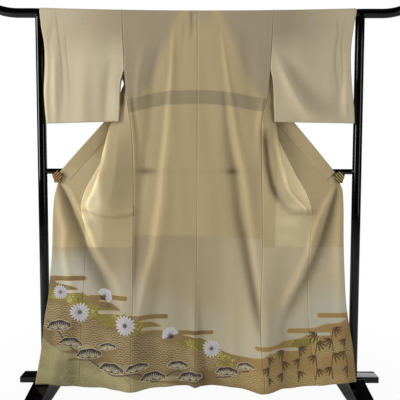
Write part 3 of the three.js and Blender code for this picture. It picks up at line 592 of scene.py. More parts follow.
def okumiGrid(side):
    s, seam = sides[side], seamRows(side)
    rows = []
    share = np.linspace(0, 1, fineness["okumi"] + 1)
    for z in levelsBetween(kimono["kensakiZ"] - 4, kimono["hemRows"]):
        inner = np.array([along(s["front"], z, 3), depth("inner", z)])
        upper = np.array([along(seam, z, 1), along(seam, z, 2)])
        upper[1] = mix(upper[1], okumiPlane(side, upper[0], z), below(z, kimono["flushZ"], 40))
        lower = np.array([along(s["edge"], z), depth("edge", z)])
        end = mix(lower, upper, past(z, kimono["okumiCornerZ"], 8))
        t = mix(-kimono["seamLap"] / max(np.hypot(*(end - inner)), 3), 1, share)
        rows.append(drapedPoint(side, mix(inner[0], end[0], t), mix(inner[1], end[1], t), z))
    return np.array(rows)


def collarHalf(side):
    sign, collar = sides[side]["sign"], sides[side]["collar"]
    pairs = []
    for x in np.linspace(0, 76, 14):
        seamY, seamZ, edgeX, edgeY, edgeZ = (along(collar[:3], x, c) for c in range(1, 6))
        pairs.append([[sign * x, seamY, seamZ], [sign * edgeX, edgeY, edgeZ]])
    seam = seamRows(side)
    for z in levelsBetween(drape["frontTop"] - 1, kimono["collarEndZ"]):
        sx, sy, ex, ey, ez = (along(seam, z, c) for c in range(1, 6))
        pairs.append([[sign * sx, sy, z], [sign * ex, ey, ez]])
    return np.array(pairs)


def collarGrid():
    pairs = np.concatenate([collarHalf("left")[:0:-1], collarHalf("right")])
    seam, edge = pairs[:, 0], pairs[:, 1]
    twisted = smooth((seam[:, 2] - kimono["kensakiZ"]) / 100)
    start = (kimono["thickness"] * twisted - kimono["seamLap"]) / kimono["collarWidth"]
    t = mix(start[:, None], 1, np.linspace(0, 1, fineness["collar"] + 1)[None, :])
    grid = mix(seam[:, None, :], edge[:, None, :], t[:, :, None])
    x, z = grid[..., 0], grid[..., 2]
    plane = np.where(x < 0, okumiPlane("left", -x, z), okumiPlane("right", x, z))
    grid[..., 1] = mix(grid[..., 1], plane - 0.4, below(z, kimono["flushZ"], 40))
    return grid


def sleeveGrid(side):
    s = sides[side]
    sleeve, sign = s["sleeve"], s["sign"]
    share = np.linspace(0, 1, fineness["sleeve"] + 1)[None, :]
    lowest, highest = drape["sleeveLow"], drape["sleeveTop"]
    level = levelsBetween(lowest, highest)[:, None]

    def place(z):
        above = past(z, kimono["armholeZ"] - 20, 20)
        inner = mix(along(sleeve["inner"], z), sideX(side, z), above)
        return sign * mix(inner + 0.6 * (1 - above), along(sleeve["outer"], z), share)

    def layer(near):
        x = place(level)
        low = mix(sleeve["bottomInner"], sleeve["bottomOuter"], clamp01((np.abs(x) - 330) / 310))
        high = past(level, drape["bend"], drape["bendReach"])
        z = level + (low - lowest) * below(level, kimono["armholeZ"], 200)
        z = z + (railAxisZ(x) - highest) * high
        sewn = below(z, kimono["wristZ"], 40) * past(share, 0.8, 0.2)
        folds = relief(sleeveFolds, x, z) + slowUneven(x, z)
        fold = folds * below(z, 1620, 120)
        front = along([[highest, -wrapR], [kimono["armholeZ"], -24], [lowest, -32]], z)
        front = front - fold * past(share, 0, 0.2)
        rear = along([[highest, wrapR], [kimono["armholeZ"], 0], [kimono["sideSeamTopZ"], -15],
                      [lowest, -29]], z)
        front = mix(front, -wrapR, high)
        rear = np.maximum(mix(mix(rear, front + 3.2, sewn), wrapR, high), front + 3.2)
        return np.stack(np.broadcast_arrays(x, front if near else rear, z), -1)

    near, far = layer(True), layer(False)
    wrap = wrapGrid(near[-1, :, 0])
    return np.concatenate([near, wrap, far[-2::-1]])


def placePiece(name, data):
    piece = bpy.data.objects.new(name, data)
    bpy.context.scene.collection.objects.link(piece)
    return piece


def shadeSmooth(mesh):
    mesh.polygons.foreach_set("use_smooth", np.ones(len(mesh.polygons), bool))


# Turns finished bmesh work into a piece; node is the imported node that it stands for.
def finishPiece(work, name, material, node=None):
    bmesh.ops.recalc_face_normals(work, faces=work.faces)
    mesh = bpy.data.meshes.new(name)
    work.to_mesh(mesh)
    work.free()
    mesh.materials.append(material)
    shadeSmooth(mesh)
    piece = placePiece(name, mesh)
    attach(piece, "root")
    if node:
        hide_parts(node)
    return piece


# A thin closed shell on a grid of points. marks are float values by grid point that its material reads.
def clothShell(name, grid, materials, marks, uv, loop=False, mirrored=False):
    rows, columns = grid.shape[:2]
    marks = {key: np.broadcast_to(values, (rows, columns)) for key, values in marks.items()}
    if mirrored:                                # columns run the other way, so the outer face stays outside
        grid, uv = grid[:, ::-1], uv[:, ::-1]
        marks = {key: values[:, ::-1] for key, values in marks.items()}
    if loop:
        along0 = np.roll(grid, -1, 0) - np.roll(grid, 1, 0)
    else:
        along0 = np.gradient(grid, axis=0)
    normal = np.cross(along0, np.gradient(grid, axis=1))
    normal /= np.maximum(np.linalg.norm(normal, axis=2, keepdims=True), 1e-9)
    half = kimono["thickness"] / 2
    points = np.concatenate([(grid + normal * off).reshape(-1, 3) for off in (half, -half)]) * mm
    index = np.arange(rows * columns).reshape(rows, columns)
    top = np.roll(index, -1, 0) if loop else index[1:]
    low = index if loop else index[:-1]
    a, b, c, d = low[:, :-1], top[:, :-1], top[:, 1:], low[:, 1:]
    faceOut = np.stack([a, b, c, d], -1).reshape(-1, 4)
    shift = rows * columns
    faceIn = faceOut[:, ::-1] + shift

    def strip(first, second):
        return np.stack([first, first + shift, second + shift, second], -1).reshape(-1, 4)

    rims = [strip(low[:, 0], top[:, 0]), strip(top[:, -1], low[:, -1])]
    if not loop:
        rims += [strip(index[0, 1:], index[0, :-1]), strip(index[-1, :-1], index[-1, 1:])]
    rimFaces = np.concatenate(rims)
    faces = np.concatenate([faceOut, faceIn, rimFaces])
    mesh = bpy.data.meshes.new(name)
    mesh.from_pydata(points.tolist(), [], faces.tolist())
    slots = np.repeat([0, 1, 0], [len(faceOut), len(faceIn), len(rimFaces)])
    for material in materials:
        mesh.materials.append(material)
    mesh.polygons.foreach_set("material_index", slots)
    shadeSmooth(mesh)
    for key, values in marks.items():
        layer = mesh.attributes.new(key, "FLOAT", "POINT")
        layer.data.foreach_set("value", np.tile(values.reshape(-1), 2).astype(np.float32))
    corner = np.zeros(len(mesh.loops), int)
    mesh.loops.foreach_get("vertex_index", corner)
    layer = mesh.uv_layers.new(name="cloth")
    layer.data.foreach_set("uv", uv.reshape(-1, 2)[corner % shift].astype(np.float32).ravel())
    return placePiece(name, mesh)


# In the node helpers an input is another node's output, or a plain number or colour.
def linear(hexColour):
    parts = [int(hexColour[i:i + 2], 16) / 255 for i in (1, 3, 5)]
    return tuple(p / 12.92 if p <= 0.04045 else ((p + 0.055) / 1.055) ** 2.4 for p in parts) + (1,)


def feed(tree, made, inputs):
    for key, value in inputs.items():
        if isinstance(value, bpy.types.NodeSocket):
            tree.links.new(value, made.inputs[key])
        else:
            made.inputs[key].default_value = value
    return made


def addNode(tree, kind, inputs=None, **settings):
    made = tree.nodes.new(kind)
    for key, value in settings.items():
        setattr(made, key, value)
    return feed(tree, made, inputs or {})


def calc(tree, operation, a, b=0.0, c=0.0, clamp=False):
    inputs = {0: a, 1: b, 2: c}
    return addNode(tree, "ShaderNodeMath", inputs, operation=operation, use_clamp=clamp).outputs[0]


def times(tree, a, b):
    return calc(tree, "MULTIPLY", a, b)


def blendValue(tree, factor, a, b):
    return addNode(tree, "ShaderNodeMix", {0: factor, 2: a, 3: b}, data_type="FLOAT").outputs[0]


def blendColour(tree, factor, a, b, how="MIX"):
    inputs = {0: factor, 6: a, 7: b}
    return addNode(tree, "ShaderNodeMix", inputs, data_type="RGBA", blend_type=how).outputs[2]


def tinted(tree, colour, tint):
    return blendColour(tree, 1.0, colour, tint, "MULTIPLY")


def mapRange(tree, value, low, high, outLow=0.0, outHigh=1.0):
    return addNode(tree, "ShaderNodeMapRange", {0: value, 1: low, 2: high, 3: outLow, 4: outHigh},
                   interpolation_type="SMOOTHSTEP").outputs[0]


def noise(tree, place, scale, detail=2.0, roughness=0.5):
    return addNode(tree, "ShaderNodeTexNoise", {"Vector": place, "Scale": scale, "Detail": detail,
                                                "Roughness": roughness}).outputs[0]


def stretched(tree, place, scale):
    return addNode(tree, "ShaderNodeVectorMath", {0: place, 1: scale}, operation="MULTIPLY").outputs[0]


def parted(tree, place):
    return addNode(tree, "ShaderNodeSeparateXYZ", {0: place}).outputs


def attribute(tree, name):
    return addNode(tree, "ShaderNodeAttribute", attribute_name=name).outputs["Fac"]


def uvPlace(tree, name):
    return addNode(tree, "ShaderNodeUVMap", uv_map=name).outputs[0]


def objectPlace(tree):
    return addNode(tree, "ShaderNodeTexCoord").outputs["Object"]


def bumpUp(tree, height, strength, distance, under=None):
    inputs = {"Height": height, "Strength": strength, "Distance": distance}
    if under is not None:
        inputs["Normal"] = under
    return addNode(tree, "ShaderNodeBump", inputs).outputs[0]


def startMaterial(name):
    material = bpy.data.materials.new(name)
    material.use_nodes = True
    tree = material.node_tree
    return material, tree, tree.nodes["Principled BSDF"]


# inputs: starting value by label, or None for a place. outputs: labels of plain values.
def newGroup(name, inputs, outputs):
    tree = bpy.data.node_groups.new(name, "ShaderNodeTree")
    for label, value in inputs.items():
        kind = "NodeSocketVector" if value is None else "NodeSocketFloat"
        socket = tree.interface.new_socket(label, in_out="INPUT", socket_type=kind)
        if value is not None:
            socket.default_value = value
    for label in outputs:
        tree.interface.new_socket(label, in_out="OUTPUT", socket_type="NodeSocketFloat")
    return tree, tree.nodes.new("NodeGroupInput").outputs, tree.nodes.new("NodeGroupOutput")


def useGroup(tree, group, inputs):
    return addNode(tree, "ShaderNodeGroup", inputs, node_tree=group).outputs


# Crepe grain: small uneven ripples across the cloth, and a slow unevenness over a hand's width.
def makeCrepeGroup():
    tree, given, result = newGroup("crepeGrain", {"Cloth": None, "Ripples per metre": 900.0},
                                   ["Height", "Slub", "Slow"])
    cloth = given["Cloth"]
    feed(tree, result, {
        "Height": noise(tree, stretched(tree, cloth, (1.0, 2.4, 1.0)), given["Ripples per metre"], 3.0, 0.62),
        "Slub": noise(tree, stretched(tree, cloth, (14.0, 190.0, 1.0)), 1.0),
        "Slow": noise(tree, cloth, 7.0, 3.0),
    })
    return tree


# Seigaiha, the old wave-scale pattern, as fine drawn lines: rings about rows of centres, each row
# lying over the one above it.
def makeWaveScaleGroup():
    tree, given, result = newGroup("waveScaleLines", {"Place": None, "Radius": 0.02, "Rings": 4.0,
                                                      "Line share": 0.2}, ["Line"])
    parts = parted(tree, given["Place"])
    across = calc(tree, "DIVIDE", parts[0], given["Radius"])
    up = times(tree, calc(tree, "DIVIDE", parts[1], given["Radius"]), 2.0)
    lowest = calc(tree, "FLOOR", calc(tree, "SUBTRACT", up, 1.0))
    chosen = None
    for step in (2, 1, 0):
        row = calc(tree, "ADD", lowest, float(step))
        shifted = calc(tree, "ADD", across, calc(tree, "FLOORED_MODULO", row, 2.0))
        dx = calc(tree, "SUBTRACT", calc(tree, "FLOORED_MODULO", shifted, 2.0), 1.0)
        dy = times(tree, calc(tree, "SUBTRACT", up, row), 0.5)
        away = calc(tree, "SQRT", calc(tree, "ADD", times(tree, dx, dx), times(tree, dy, dy)))
        if chosen is None:
            chosen = away
            continue
        chosen = blendValue(tree, calc(tree, "LESS_THAN", away, 1.0), chosen, away)
    ring = calc(tree, "FRACT", times(tree, chosen, given["Rings"]))
    near = calc(tree, "SUBTRACT", 0.5, calc(tree, "ABSOLUTE", calc(tree, "SUBTRACT", ring, 0.5)))
    share = calc(tree, "DIVIDE", near, given["Line share"])
    feed(tree, result, {"Line": mapRange(tree, share, 0.4, 1.0, 1.0, 0.0)})
    return tree


# Scattered flakes of leaf: small torn squares, with a share of them lit.
def makeFleckGroup():
    tree, given, result = newGroup("leafFlecks", {"Place": None, "Flakes per metre": 160.0, "Share": 0.4},
                                   ["Mask", "Tone"])
    inputs = {"Vector": given["Place"], "Scale": given["Flakes per metre"]}
    cells = addNode(tree, "ShaderNodeTexVoronoi", inputs, distance="CHEBYCHEV",
                    voronoi_dimensions="2D").outputs
    chance = addNode(tree, "ShaderNodeSeparateColor", {0: cells["Color"]}).outputs
    chosen = calc(tree, "LESS_THAN", chance[0], given["Share"])
    core = mapRange(tree, cells["Distance"], 0.34, 0.5, 1.0, 0.0)
    feed(tree, result, {"Mask": times(tree, chosen, core), "Tone": chance[1]})
    return tree


crepeGrain = makeCrepeGroup()
waveScaleLines = makeWaveScaleGroup()
leafFlecks = makeFleckGroup()

# Some of these colours are painted light and shade: upper, lower and tuck are painted shade, lowerRight and
# glow painted light, deep and foldLit the painted shade and highlight of folds, seamLit and seamDark the
# painted highlight and shade at seams, and sleeve is the body's silk painted lighter.
silk = {
    "base": "#bba87f", "sleeve": "#cfc1a1", "upper": "#a6977c", "lower": "#ad9b78", "lowerRight": "#c4b490",
    "tuck": "#8f8467", "glow": "#f4e3b8", "pale": "#c2c0af", "deep": "#665129",
    "ground": "#927b52", "groundDark": "#7d6943", "groundRight": "#a78a56", "groundEdge": "#c9ab62",
    "olive": "#a59b6e", "oliveDark": "#87805a", "gold": "#8d8041", "goldBright": "#f2e890",
    "line": "#dccd9c", "lining": "#d2c194", "hemLining": "#b5a27c", "sheenTint": "#fff4dc",
    "foldLit": (1.35, 1.33, 1.28, 1), "seamLit": (1.2, 1.2, 1.18, 1), "seamDark": (0.42, 0.38, 0.3, 1),
    "roughness": 0.6, "sheen": 0.25, "sheenRoughness": 0.4, "specular": 0.35, "grainDepth": 0.0002,
}
waveScale = {"Radius": 0.03, "Rings": 3.0, "Line share": 0.15}
waveStrength = 0.62
leaf = {"Flakes per metre": 210.0, "Share": 0.6}
dust = {"Flakes per metre": 420.0, "Share": 0.45}

# Stitched thread, in millimetres above the cloth; strand is metres from strand to strand.
# colours: at a shape's root and tip, roughness and metal.
thread = {
    "edge": 0.2, "top": 1.0, "strand": 0.0005, "shaded": (0.72, 0.7, 0.68, 1),
    "colours": {
        "white": ["#9c93a3", "#e9e5e4", 0.42, 0.0], "dark": ["#2a2029", "#4c3a3f", 0.45, 0.0],
        "pine": ["#35272a", "#57413c", 0.5, 0.0], "gold": ["#a88a4e", "#dcc78c", 0.36, 0.4],
        "cream": ["#cbb98d", "#efe3c0", 0.45, 0.0], "brown": ["#523d20", "#735829", 0.5, 0.0],
    },
}


# Thread to thread unevenness of a colour.
def unevenThread(tree, grain, colour, amount):
    level = mapRange(tree, grain["Slub"], 0.3, 0.7, 1 - amount, 1 + amount)
    grey = addNode(tree, "ShaderNodeCombineColor", {0: level, 1: level, 2: level}).outputs[0]
    return tinted(tree, colour, grey)


# The outer silk. Marks on the mesh, in metres, say how far inside each dyed area, the tuck band or the hem
# lining a point is.
def makeSilk(name, base):
    material, tree, shader = startMaterial(name)
    place = objectPlace(tree)
    flat = addNode(tree, "ShaderNodeMapping", {"Vector": place, "Rotation": (-math.pi / 2, 0, 0)}).outputs[0]
    grain = useGroup(tree, crepeGrain, {"Cloth": uvPlace(tree, "cloth")})
    toRight = parted(tree, place)[0]

    def paint(under, mask, over):
        return blendColour(tree, mask, under, linear(silk[over]))

    def marked(mark, low, high, outLow=0.0, outHigh=1.0):
        return mapRange(tree, attribute(tree, mark), low, high, outLow, outHigh)

    # Painted shade where layers behind hold back light coming through the silk: fronts (upper), the hem
    # lining (lower) and the tuck (tuck). Painted light towards the right (lowerRight) and where light comes
    # through a single layer (glow).
    colour = paint(linear(base), attribute(tree, "upper"), "upper")
    low = paint(linear(silk["lower"]), mapRange(tree, toRight, -0.05, 0.22), "lowerRight")
    colour = blendColour(tree, marked("liningIn", -0.003, 0.003, 1.0, 0.0), colour, low)
    colour = paint(colour, attribute(tree, "glow"), "glow")
    colour = paint(colour, marked("tuckIn", -0.002, 0.002, 0.0, 0.7), "tuck")
    colour = paint(colour, attribute(tree, "pale"), "pale")
    # dyed ground with drawn wave scales and a thin gold edge, the olive hem, and leaf
    cloudy = mapRange(tree, grain["Slow"], 0.36, 0.64)
    ground = paint(paint(linear(silk["ground"]), cloudy, "groundDark"), mapRange(tree, toRight, 0.05, 0.3),
                   "groundRight")
    lines = useGroup(tree, waveScaleLines, {"Place": flat, **waveScale})
    lined = times(tree, lines["Line"], marked("linedIn", 0.0, 0.03))
    ground = paint(ground, times(tree, lined, waveStrength), "line")
    ground = paint(ground, marked("groundIn", 0.0012, 0.002, 0.85, 0.0), "groundEdge")
    colour = blendColour(tree, marked("groundIn", -0.0008, 0.0008), colour, ground)
    flecks = useGroup(tree, leafFlecks, {"Place": flat, **dust})
    olive = paint(linear(silk["olive"]), cloudy, "oliveDark")
    olive = paint(olive, times(tree, flecks["Mask"], 0.35), "line")
    colour = blendColour(tree, marked("oliveIn", -0.0008, 0.0008), colour, olive)
    inGold = marked("goldIn", -0.001, 0.001)
    flakes = useGroup(tree, leafFlecks, {"Place": flat, **leaf})
    clumps = mapRange(tree, noise(tree, flat, 16.0), 0.42, 0.62, 0.15, 1.0)
    bright = times(tree, times(tree, flakes["Mask"], flakes["Tone"]), clumps)
    colour = blendColour(tree, inGold, colour, paint(linear(silk["gold"]), bright, "goldBright"))
    # seams: a painted highlight on the turned edge, painted shade on the line beside it
    seam = attribute(tree, "seamOff")
    fromEdge = calc(tree, "ABSOLUTE", calc(tree, "SUBTRACT", seam, 0.0036))
    ridge = mapRange(tree, fromEdge, 0.0, 0.0034, 0.9, 0.0)
    beside = mapRange(tree, seam, 0.0002, 0.0022, 0.75, 0.0)
    colour = blendColour(tree, ridge, colour, tinted(tree, colour, silk["seamLit"]))
    colour = blendColour(tree, beside, colour, tinted(tree, colour, silk["seamDark"]))
    # painted shading of the folds: painted shade where it is above nought, painted highlight below
    tone = attribute(tree, "paintedShading")
    darker = tinted(tree, colour, linear(silk["deep"]))
    colour = blendColour(tree, calc(tree, "MAXIMUM", tone, 0.0), colour, darker)
    lit = calc(tree, "MULTIPLY", calc(tree, "MINIMUM", tone, 0.0), -2.6, clamp=True)
    colour = blendColour(tree, lit, colour, tinted(tree, colour, silk["foldLit"]))
    metal = times(tree, inGold, times(tree, flakes["Mask"], 0.75))
    rough = calc(tree, "ADD", silk["roughness"], times(tree, grain["Slow"], 0.1))
    bump = bumpUp(tree, grain["Height"], 0.5, silk["grainDepth"])
    feed(tree, shader, {
        "Base Color": unevenThread(tree, grain, colour, 0.015), "Metallic": metal,
        "Roughness": calc(tree, "SUBTRACT", rough, times(tree, metal, 0.3)),
        "Sheen Weight": silk["sheen"], "Sheen Roughness": silk["sheenRoughness"],
        "Sheen Tint": linear(silk["sheenTint"]), "Specular IOR Level": silk["specular"],
        "Normal": bumpUp(tree, calc(tree, "SUBTRACT", 1.0, beside), 0.7, 0.0006, bump),
    })
    return material


# The inside: plain cream lining, and the hem lining of the outer silk's own colour.
def makeLining():
    material, tree, shader = startMaterial("silk_lining")
    grain = useGroup(tree, crepeGrain, {"Cloth": uvPlace(tree, "cloth"), "Ripples per metre": 1500.0})
    low = mapRange(tree, attribute(tree, "liningIn"), -0.0008, 0.0008, 1.0, 0.0)
    colour = blendColour(tree, low, linear(silk["lining"]), linear(silk["hemLining"]))
    feed(tree, shader, {
        "Base Color": unevenThread(tree, grain, colour, 0.012), "Sheen Weight": 0.2,
        "Roughness": mapRange(tree, grain["Slow"], 0.2, 0.8, 0.45, 0.6),
        "Normal": bumpUp(tree, grain["Height"], 0.4, 0.0001),
    })
    return material


lacquer = {"colour": "#020203", "dust": "#0a0a0c", "roughness": 0.1, "wear": 0.08, "specular": 0.36}


# Black lacquer: deep gloss, with faint dust and rubbing in its roughness.
def makeLacquer():
    material, tree, shader = startMaterial("stand_lacquer")
    place = objectPlace(tree)
    dusty = noise(tree, place, 38.0, 5.0, 0.7)
    specks = mapRange(tree, dusty, 0.62, 0.8, 0.0, 0.25)
    rough = lacquer["roughness"]
    feed(tree, shader, {
        "Roughness": mapRange(tree, dusty, 0.5, 0.75, rough, rough + lacquer["wear"]),
        "Base Color": blendColour(tree, specks, linear(lacquer["colour"]), linear(lacquer["dust"])),
        "Specular IOR Level": lacquer["specular"],
        "Normal": bumpUp(tree, noise(tree, place, 9.0, 1.0), 0.12, 0.002),
    })
    return material


def makeGilt(name, dark, light, metallic, roughness, ribbed=False):
    material, tree, shader = startMaterial(name)
    rub = noise(tree, objectPlace(tree), 160.0, 4.0)
    toLightColour = mapRange(tree, rub, 0.35, 0.65)
    if ribbed:                                  # the grooves are darker than the raised ribs
        raised = mapRange(tree, attribute(tree, "rib"), 0.25, 0.75)
        toLightColour = times(tree, raised, calc(tree, "MULTIPLY_ADD", toLightColour, 0.3, 0.7))
    feed(tree, shader, {
        "Base Color": blendColour(tree, toLightColour, linear(dark), linear(light)), "Metallic": metallic,
        "Roughness": mapRange(tree, rub, 0.3, 0.7, roughness, roughness + 0.15),
        "Normal": bumpUp(tree, rub, 0.2, 0.0004),
    })
    return material


# Stitched thread: fine strands along each shape, which shade from its root to its tip.
def makeThread(name, root, tip, roughness, metallic):
    material, tree, shader = startMaterial(name)
    place = uvPlace(tree, "stitch")
    wander = noise(tree, place, 220.0)
    turn = times(tree, parted(tree, place)[1], 2 * math.pi / thread["strand"])
    turn = calc(tree, "ADD", turn, times(tree, wander, 2.4))
    # Painted shade between the strands, with a bump to match.
    strand = calc(tree, "MULTIPLY_ADD", calc(tree, "SINE", turn), 0.5, 0.5)
    colour = blendColour(tree, attribute(tree, "tip"), linear(root), linear(tip))
    feed(tree, shader, {
        "Base Color": blendColour(tree, strand, tinted(tree, colour, thread["shaded"]), colour),
        "Roughness": mapRange(tree, wander, 0.3, 0.7, roughness - 0.06, roughness + 0.06),
        "Metallic": metallic, "Sheen Weight": 0.3, "Normal": bumpUp(tree, strand, 0.6, 0.00012),
    })
    return material


silkBody = makeSilk("silk_body", silk["base"])
# The sleeves are the body's silk, painted lighter.
silkSleeve = makeSilk("silk_sleeve", silk["sleeve"])
silkLining = makeLining()
lacquerBlack = makeLacquer()
clipGilt = {"left": makeGilt("clip_gilt_left", "#2b1a0c", "#b07c3c", 0.4, 0.32, True),
            "right": makeGilt("clip_gilt_right", "#171408", "#c4b566", 0.4, 0.32, True)}
clipSteel = makeGilt("clip_steel", "#8f8878", "#b3aa95", 0.9, 0.3)
print("materials made")


# Dyed areas along the hem are drifts of mist. An edge is a smooth line of x and height. Fingers are long
# rounded bands added to it, and cuts are bands taken away: x from and to, height, half width.
hemDesign = {
    "ground": {
        "edge": [[-760, 588], [-690, 562], [-610, 512], [-530, 494], [-450, 440], [-360, 418], [-275, 358],
                 [-185, 340], [-95, 288], [10, 270], [105, 218], [190, 198], [270, 212], [355, 262],
                 [440, 280], [520, 330], [610, 346], [690, 396], [760, 408]],
        "fingers": [[-640, -478, 530, 11], [-470, -300, 449, 11], [-300, -132, 368, 11], [-120, 62, 297, 10],
                    [232, 380, 244, 10], [372, 505, 307, 11], [500, 640, 372, 11]],
        "cuts": [[-600, -500, 474, 6], [-430, -320, 386, 7], [-245, -150, 316, 6], [300, 420, 228, 6],
                 [462, 560, 292, 6]],
    },
    "olive": {
        "edge": [[-760, 300], [-680, 278], [-590, 216], [-500, 196], [-410, 146], [-310, 128], [-210, 84],
                 [-110, 72], [-10, 36], [120, 20], [760, -60]],
        "fingers": [[-610, -450, 232, 10], [-430, -290, 160, 10], [-220, -90, 98, 9]],
        "cuts": [[-560, -470, 180, 5]],
    },
    "gold": {
        "middle": [[-760, 512], [-690, 492], [-610, 452], [-530, 436], [-450, 388], [-360, 368], [-275, 316],
                   [-185, 300], [-95, 254], [10, 236], [105, 192], [190, 176], [270, 184], [355, 226],
                   [440, 244], [520, 290], [610, 306], [760, 360]],
        "half": [[-760, 36], [-680, 30], [-590, 14], [-500, 24], [-400, 30], [-300, 17], [-215, 5],
                 [-140, -8], [-70, 12], [20, 21], [110, 14], [180, -3], [260, -10], [330, 7], [420, 14],
                 [500, 5], [560, -8], [760, -16]],
        "fingers": [[-560, -400, 462, 8], [-420, -250, 332, 8], [-330, -190, 338, 7], [-60, 130, 262, 7],
                    [60, 216, 158, 7], [380, 520, 262, 7]],
    },
    "lined": [[-760, -400, 370, 70], [-640, -150, 270, 60], [-380, 120, 190, 70], [60, 430, 110, 50],
              [360, 760, 90, 50], [470, 760, 230, 44]],
    "soften": 5,
}


def softMost(a, b, pull):
    high = np.maximum(a, b)
    return high + pull * np.log(np.exp((a - high) / pull) + np.exp((b - high) / pull))


def underEdge(rows, x, z):
    slope = (along(rows, x + 6) - along(rows, x - 6)) / 12
    return (along(rows, x) - z) / np.sqrt(1 + slope * slope)


def driftInside(design, x, z):
    fingers = insideBands(design["fingers"], x, z)
    inside = softMost(underEdge(design["edge"], x, z), fingers, hemDesign["soften"])
    return -softMost(-inside, insideBands(design["cuts"], x, z), 2)


def goldInside(x, z, ground):
    gold = hemDesign["gold"]
    off = np.abs(underEdge(gold["middle"], x, z))
    inside = softMost(along(gold["half"], x) - off, insideBands(gold["fingers"], x, z), hemDesign["soften"])
    return np.minimum(inside, ground - 4)


# How far inside the union of bands a point lies, with the inner corners filled round.
def insideBands(rows, x, z):
    pull = hemDesign["soften"]
    total = 0
    for x0, x1, height, half in rows:
        gapX = np.maximum(np.maximum(x0 + half - x, x - (x1 - half)), 0)
        inside = half - np.hypot(gapX, z - height)
        total = total + np.exp(np.clip(inside / pull, -30, 30))
    return np.log(total + 1e-12) * pull


tuckBand = {
    "top": [[-330, 1276], [-277, 1288], [-207, 1305], [-124, 1317], [-12, 1321], [84, 1317],
            [167, 1305], [258, 1289], [300, 1280]],
    "width": 57,
}
hemLiningTop = {"back": [[-300, 714], [2, 710], [300, 697]], "front": 664}
# Height to half width of the neck and the gap between the fronts, where the back hangs alone.
opening = [[940, 520], [1330, 205], [1545, 110], [1660, 60]]
# The back's painted shade high up: beside the opening from a height, and a weaker one in the middle near the
# neck.
upperTone = {"soft": 40, "from": 1250, "fromSoft": 60, "beside": 0.9, "neck": 1560, "neckSoft": 80,
             "middle": 0.55}
# A sleeve's painted shade high up, stronger towards the body.
sleeveTone = {"from": 1430, "soft": 160, "bodyX": 310, "reach": 330, "outer": 0.1, "inner": 0.85}
# The paler cloth above the dyed ground, stronger at the sides.
paleBand = {"sideX": 360, "reach": 200, "middle": 0.4, "side": 0.85, "above": 170, "soft": 160,
            "top": 700, "topSoft": 80}
barShadow = {"z": 983, "reach": 13, "even": 0.05, "spots": [[-222, 34, 0.44], [133, 28, 0.42]]}
# Painted light on each front outward of an X, from the hem lining's top up to a height.
layeredGlow = {"x": {"left": 396, "right": 314}, "soft": {"left": 30, "right": 9}, "top": 1100, "strength": 0.3}


# What the silk's material reads at each point. folds are the tables that shape this piece, and seamOff is
# the distance from the nearest seam in millimetres.
def clothMarks(grid, isFront, folds, seamOff):
    x, z = grid[..., 0], grid[..., 2]
    ground = driftInside(hemDesign["ground"], x, z)
    top = along(tuckBand["top"], x)
    inTuck = np.minimum(top - z, z - top + tuckBand["width"])
    liningTop = mix(along(hemLiningTop["back"], x), hemLiningTop["front"], isFront)
    marks = {
        "tuckIn": np.where(isFront > 0.5, -50, inTuck),
        "liningIn": z - liningTop,
        "groundIn": ground,
        "oliveIn": driftInside(hemDesign["olive"], x, z),
        "goldIn": goldInside(x, z, ground),
        "linedIn": np.minimum(insideBands(hemDesign["lined"], x, z), ground - 8),
    }
    marks = {key: value * mm for key, value in marks.items()}
    pale = mix(paleBand["middle"], paleBand["side"], past(np.abs(x), paleBand["sideX"], paleBand["reach"]))
    pale = pale * past(ground, -paleBand["above"], paleBand["soft"])
    marks["pale"] = pale * below(z, paleBand["top"], paleBand["topSoft"])
    marks["paintedShading"] = foldSums(folds, x, z)[1]
    marks["seamOff"] = seamOff * mm * np.ones_like(x)
    marks["upper"] = np.zeros_like(x)
    marks["glow"] = np.zeros_like(x)
    return marks


# Painted shade on the back where a front lies behind it, and a painted shadow of the crossbar as two dim
# spots.
def backMarks(marks, x, z, isFront):
    back = 1 - isFront
    out, half, soft = np.abs(x), along(opening, z), upperTone["soft"]
    beside = past(out, half, soft) * past(z, upperTone["from"], upperTone["fromSoft"])
    middle = below(out, half, soft) * past(z, upperTone["neck"], upperTone["neckSoft"])
    marks["upper"] = (upperTone["beside"] * beside + upperTone["middle"] * middle) * back
    bar = np.exp(-((z - barShadow["z"]) / barShadow["reach"]) ** 2)
    spots = sum(dim * np.exp(-((x - at) / reach) ** 2) for at, reach, dim in barShadow["spots"])
    marks["paintedShading"] = marks["paintedShading"] + bar * (barShadow["even"] + spots) * back


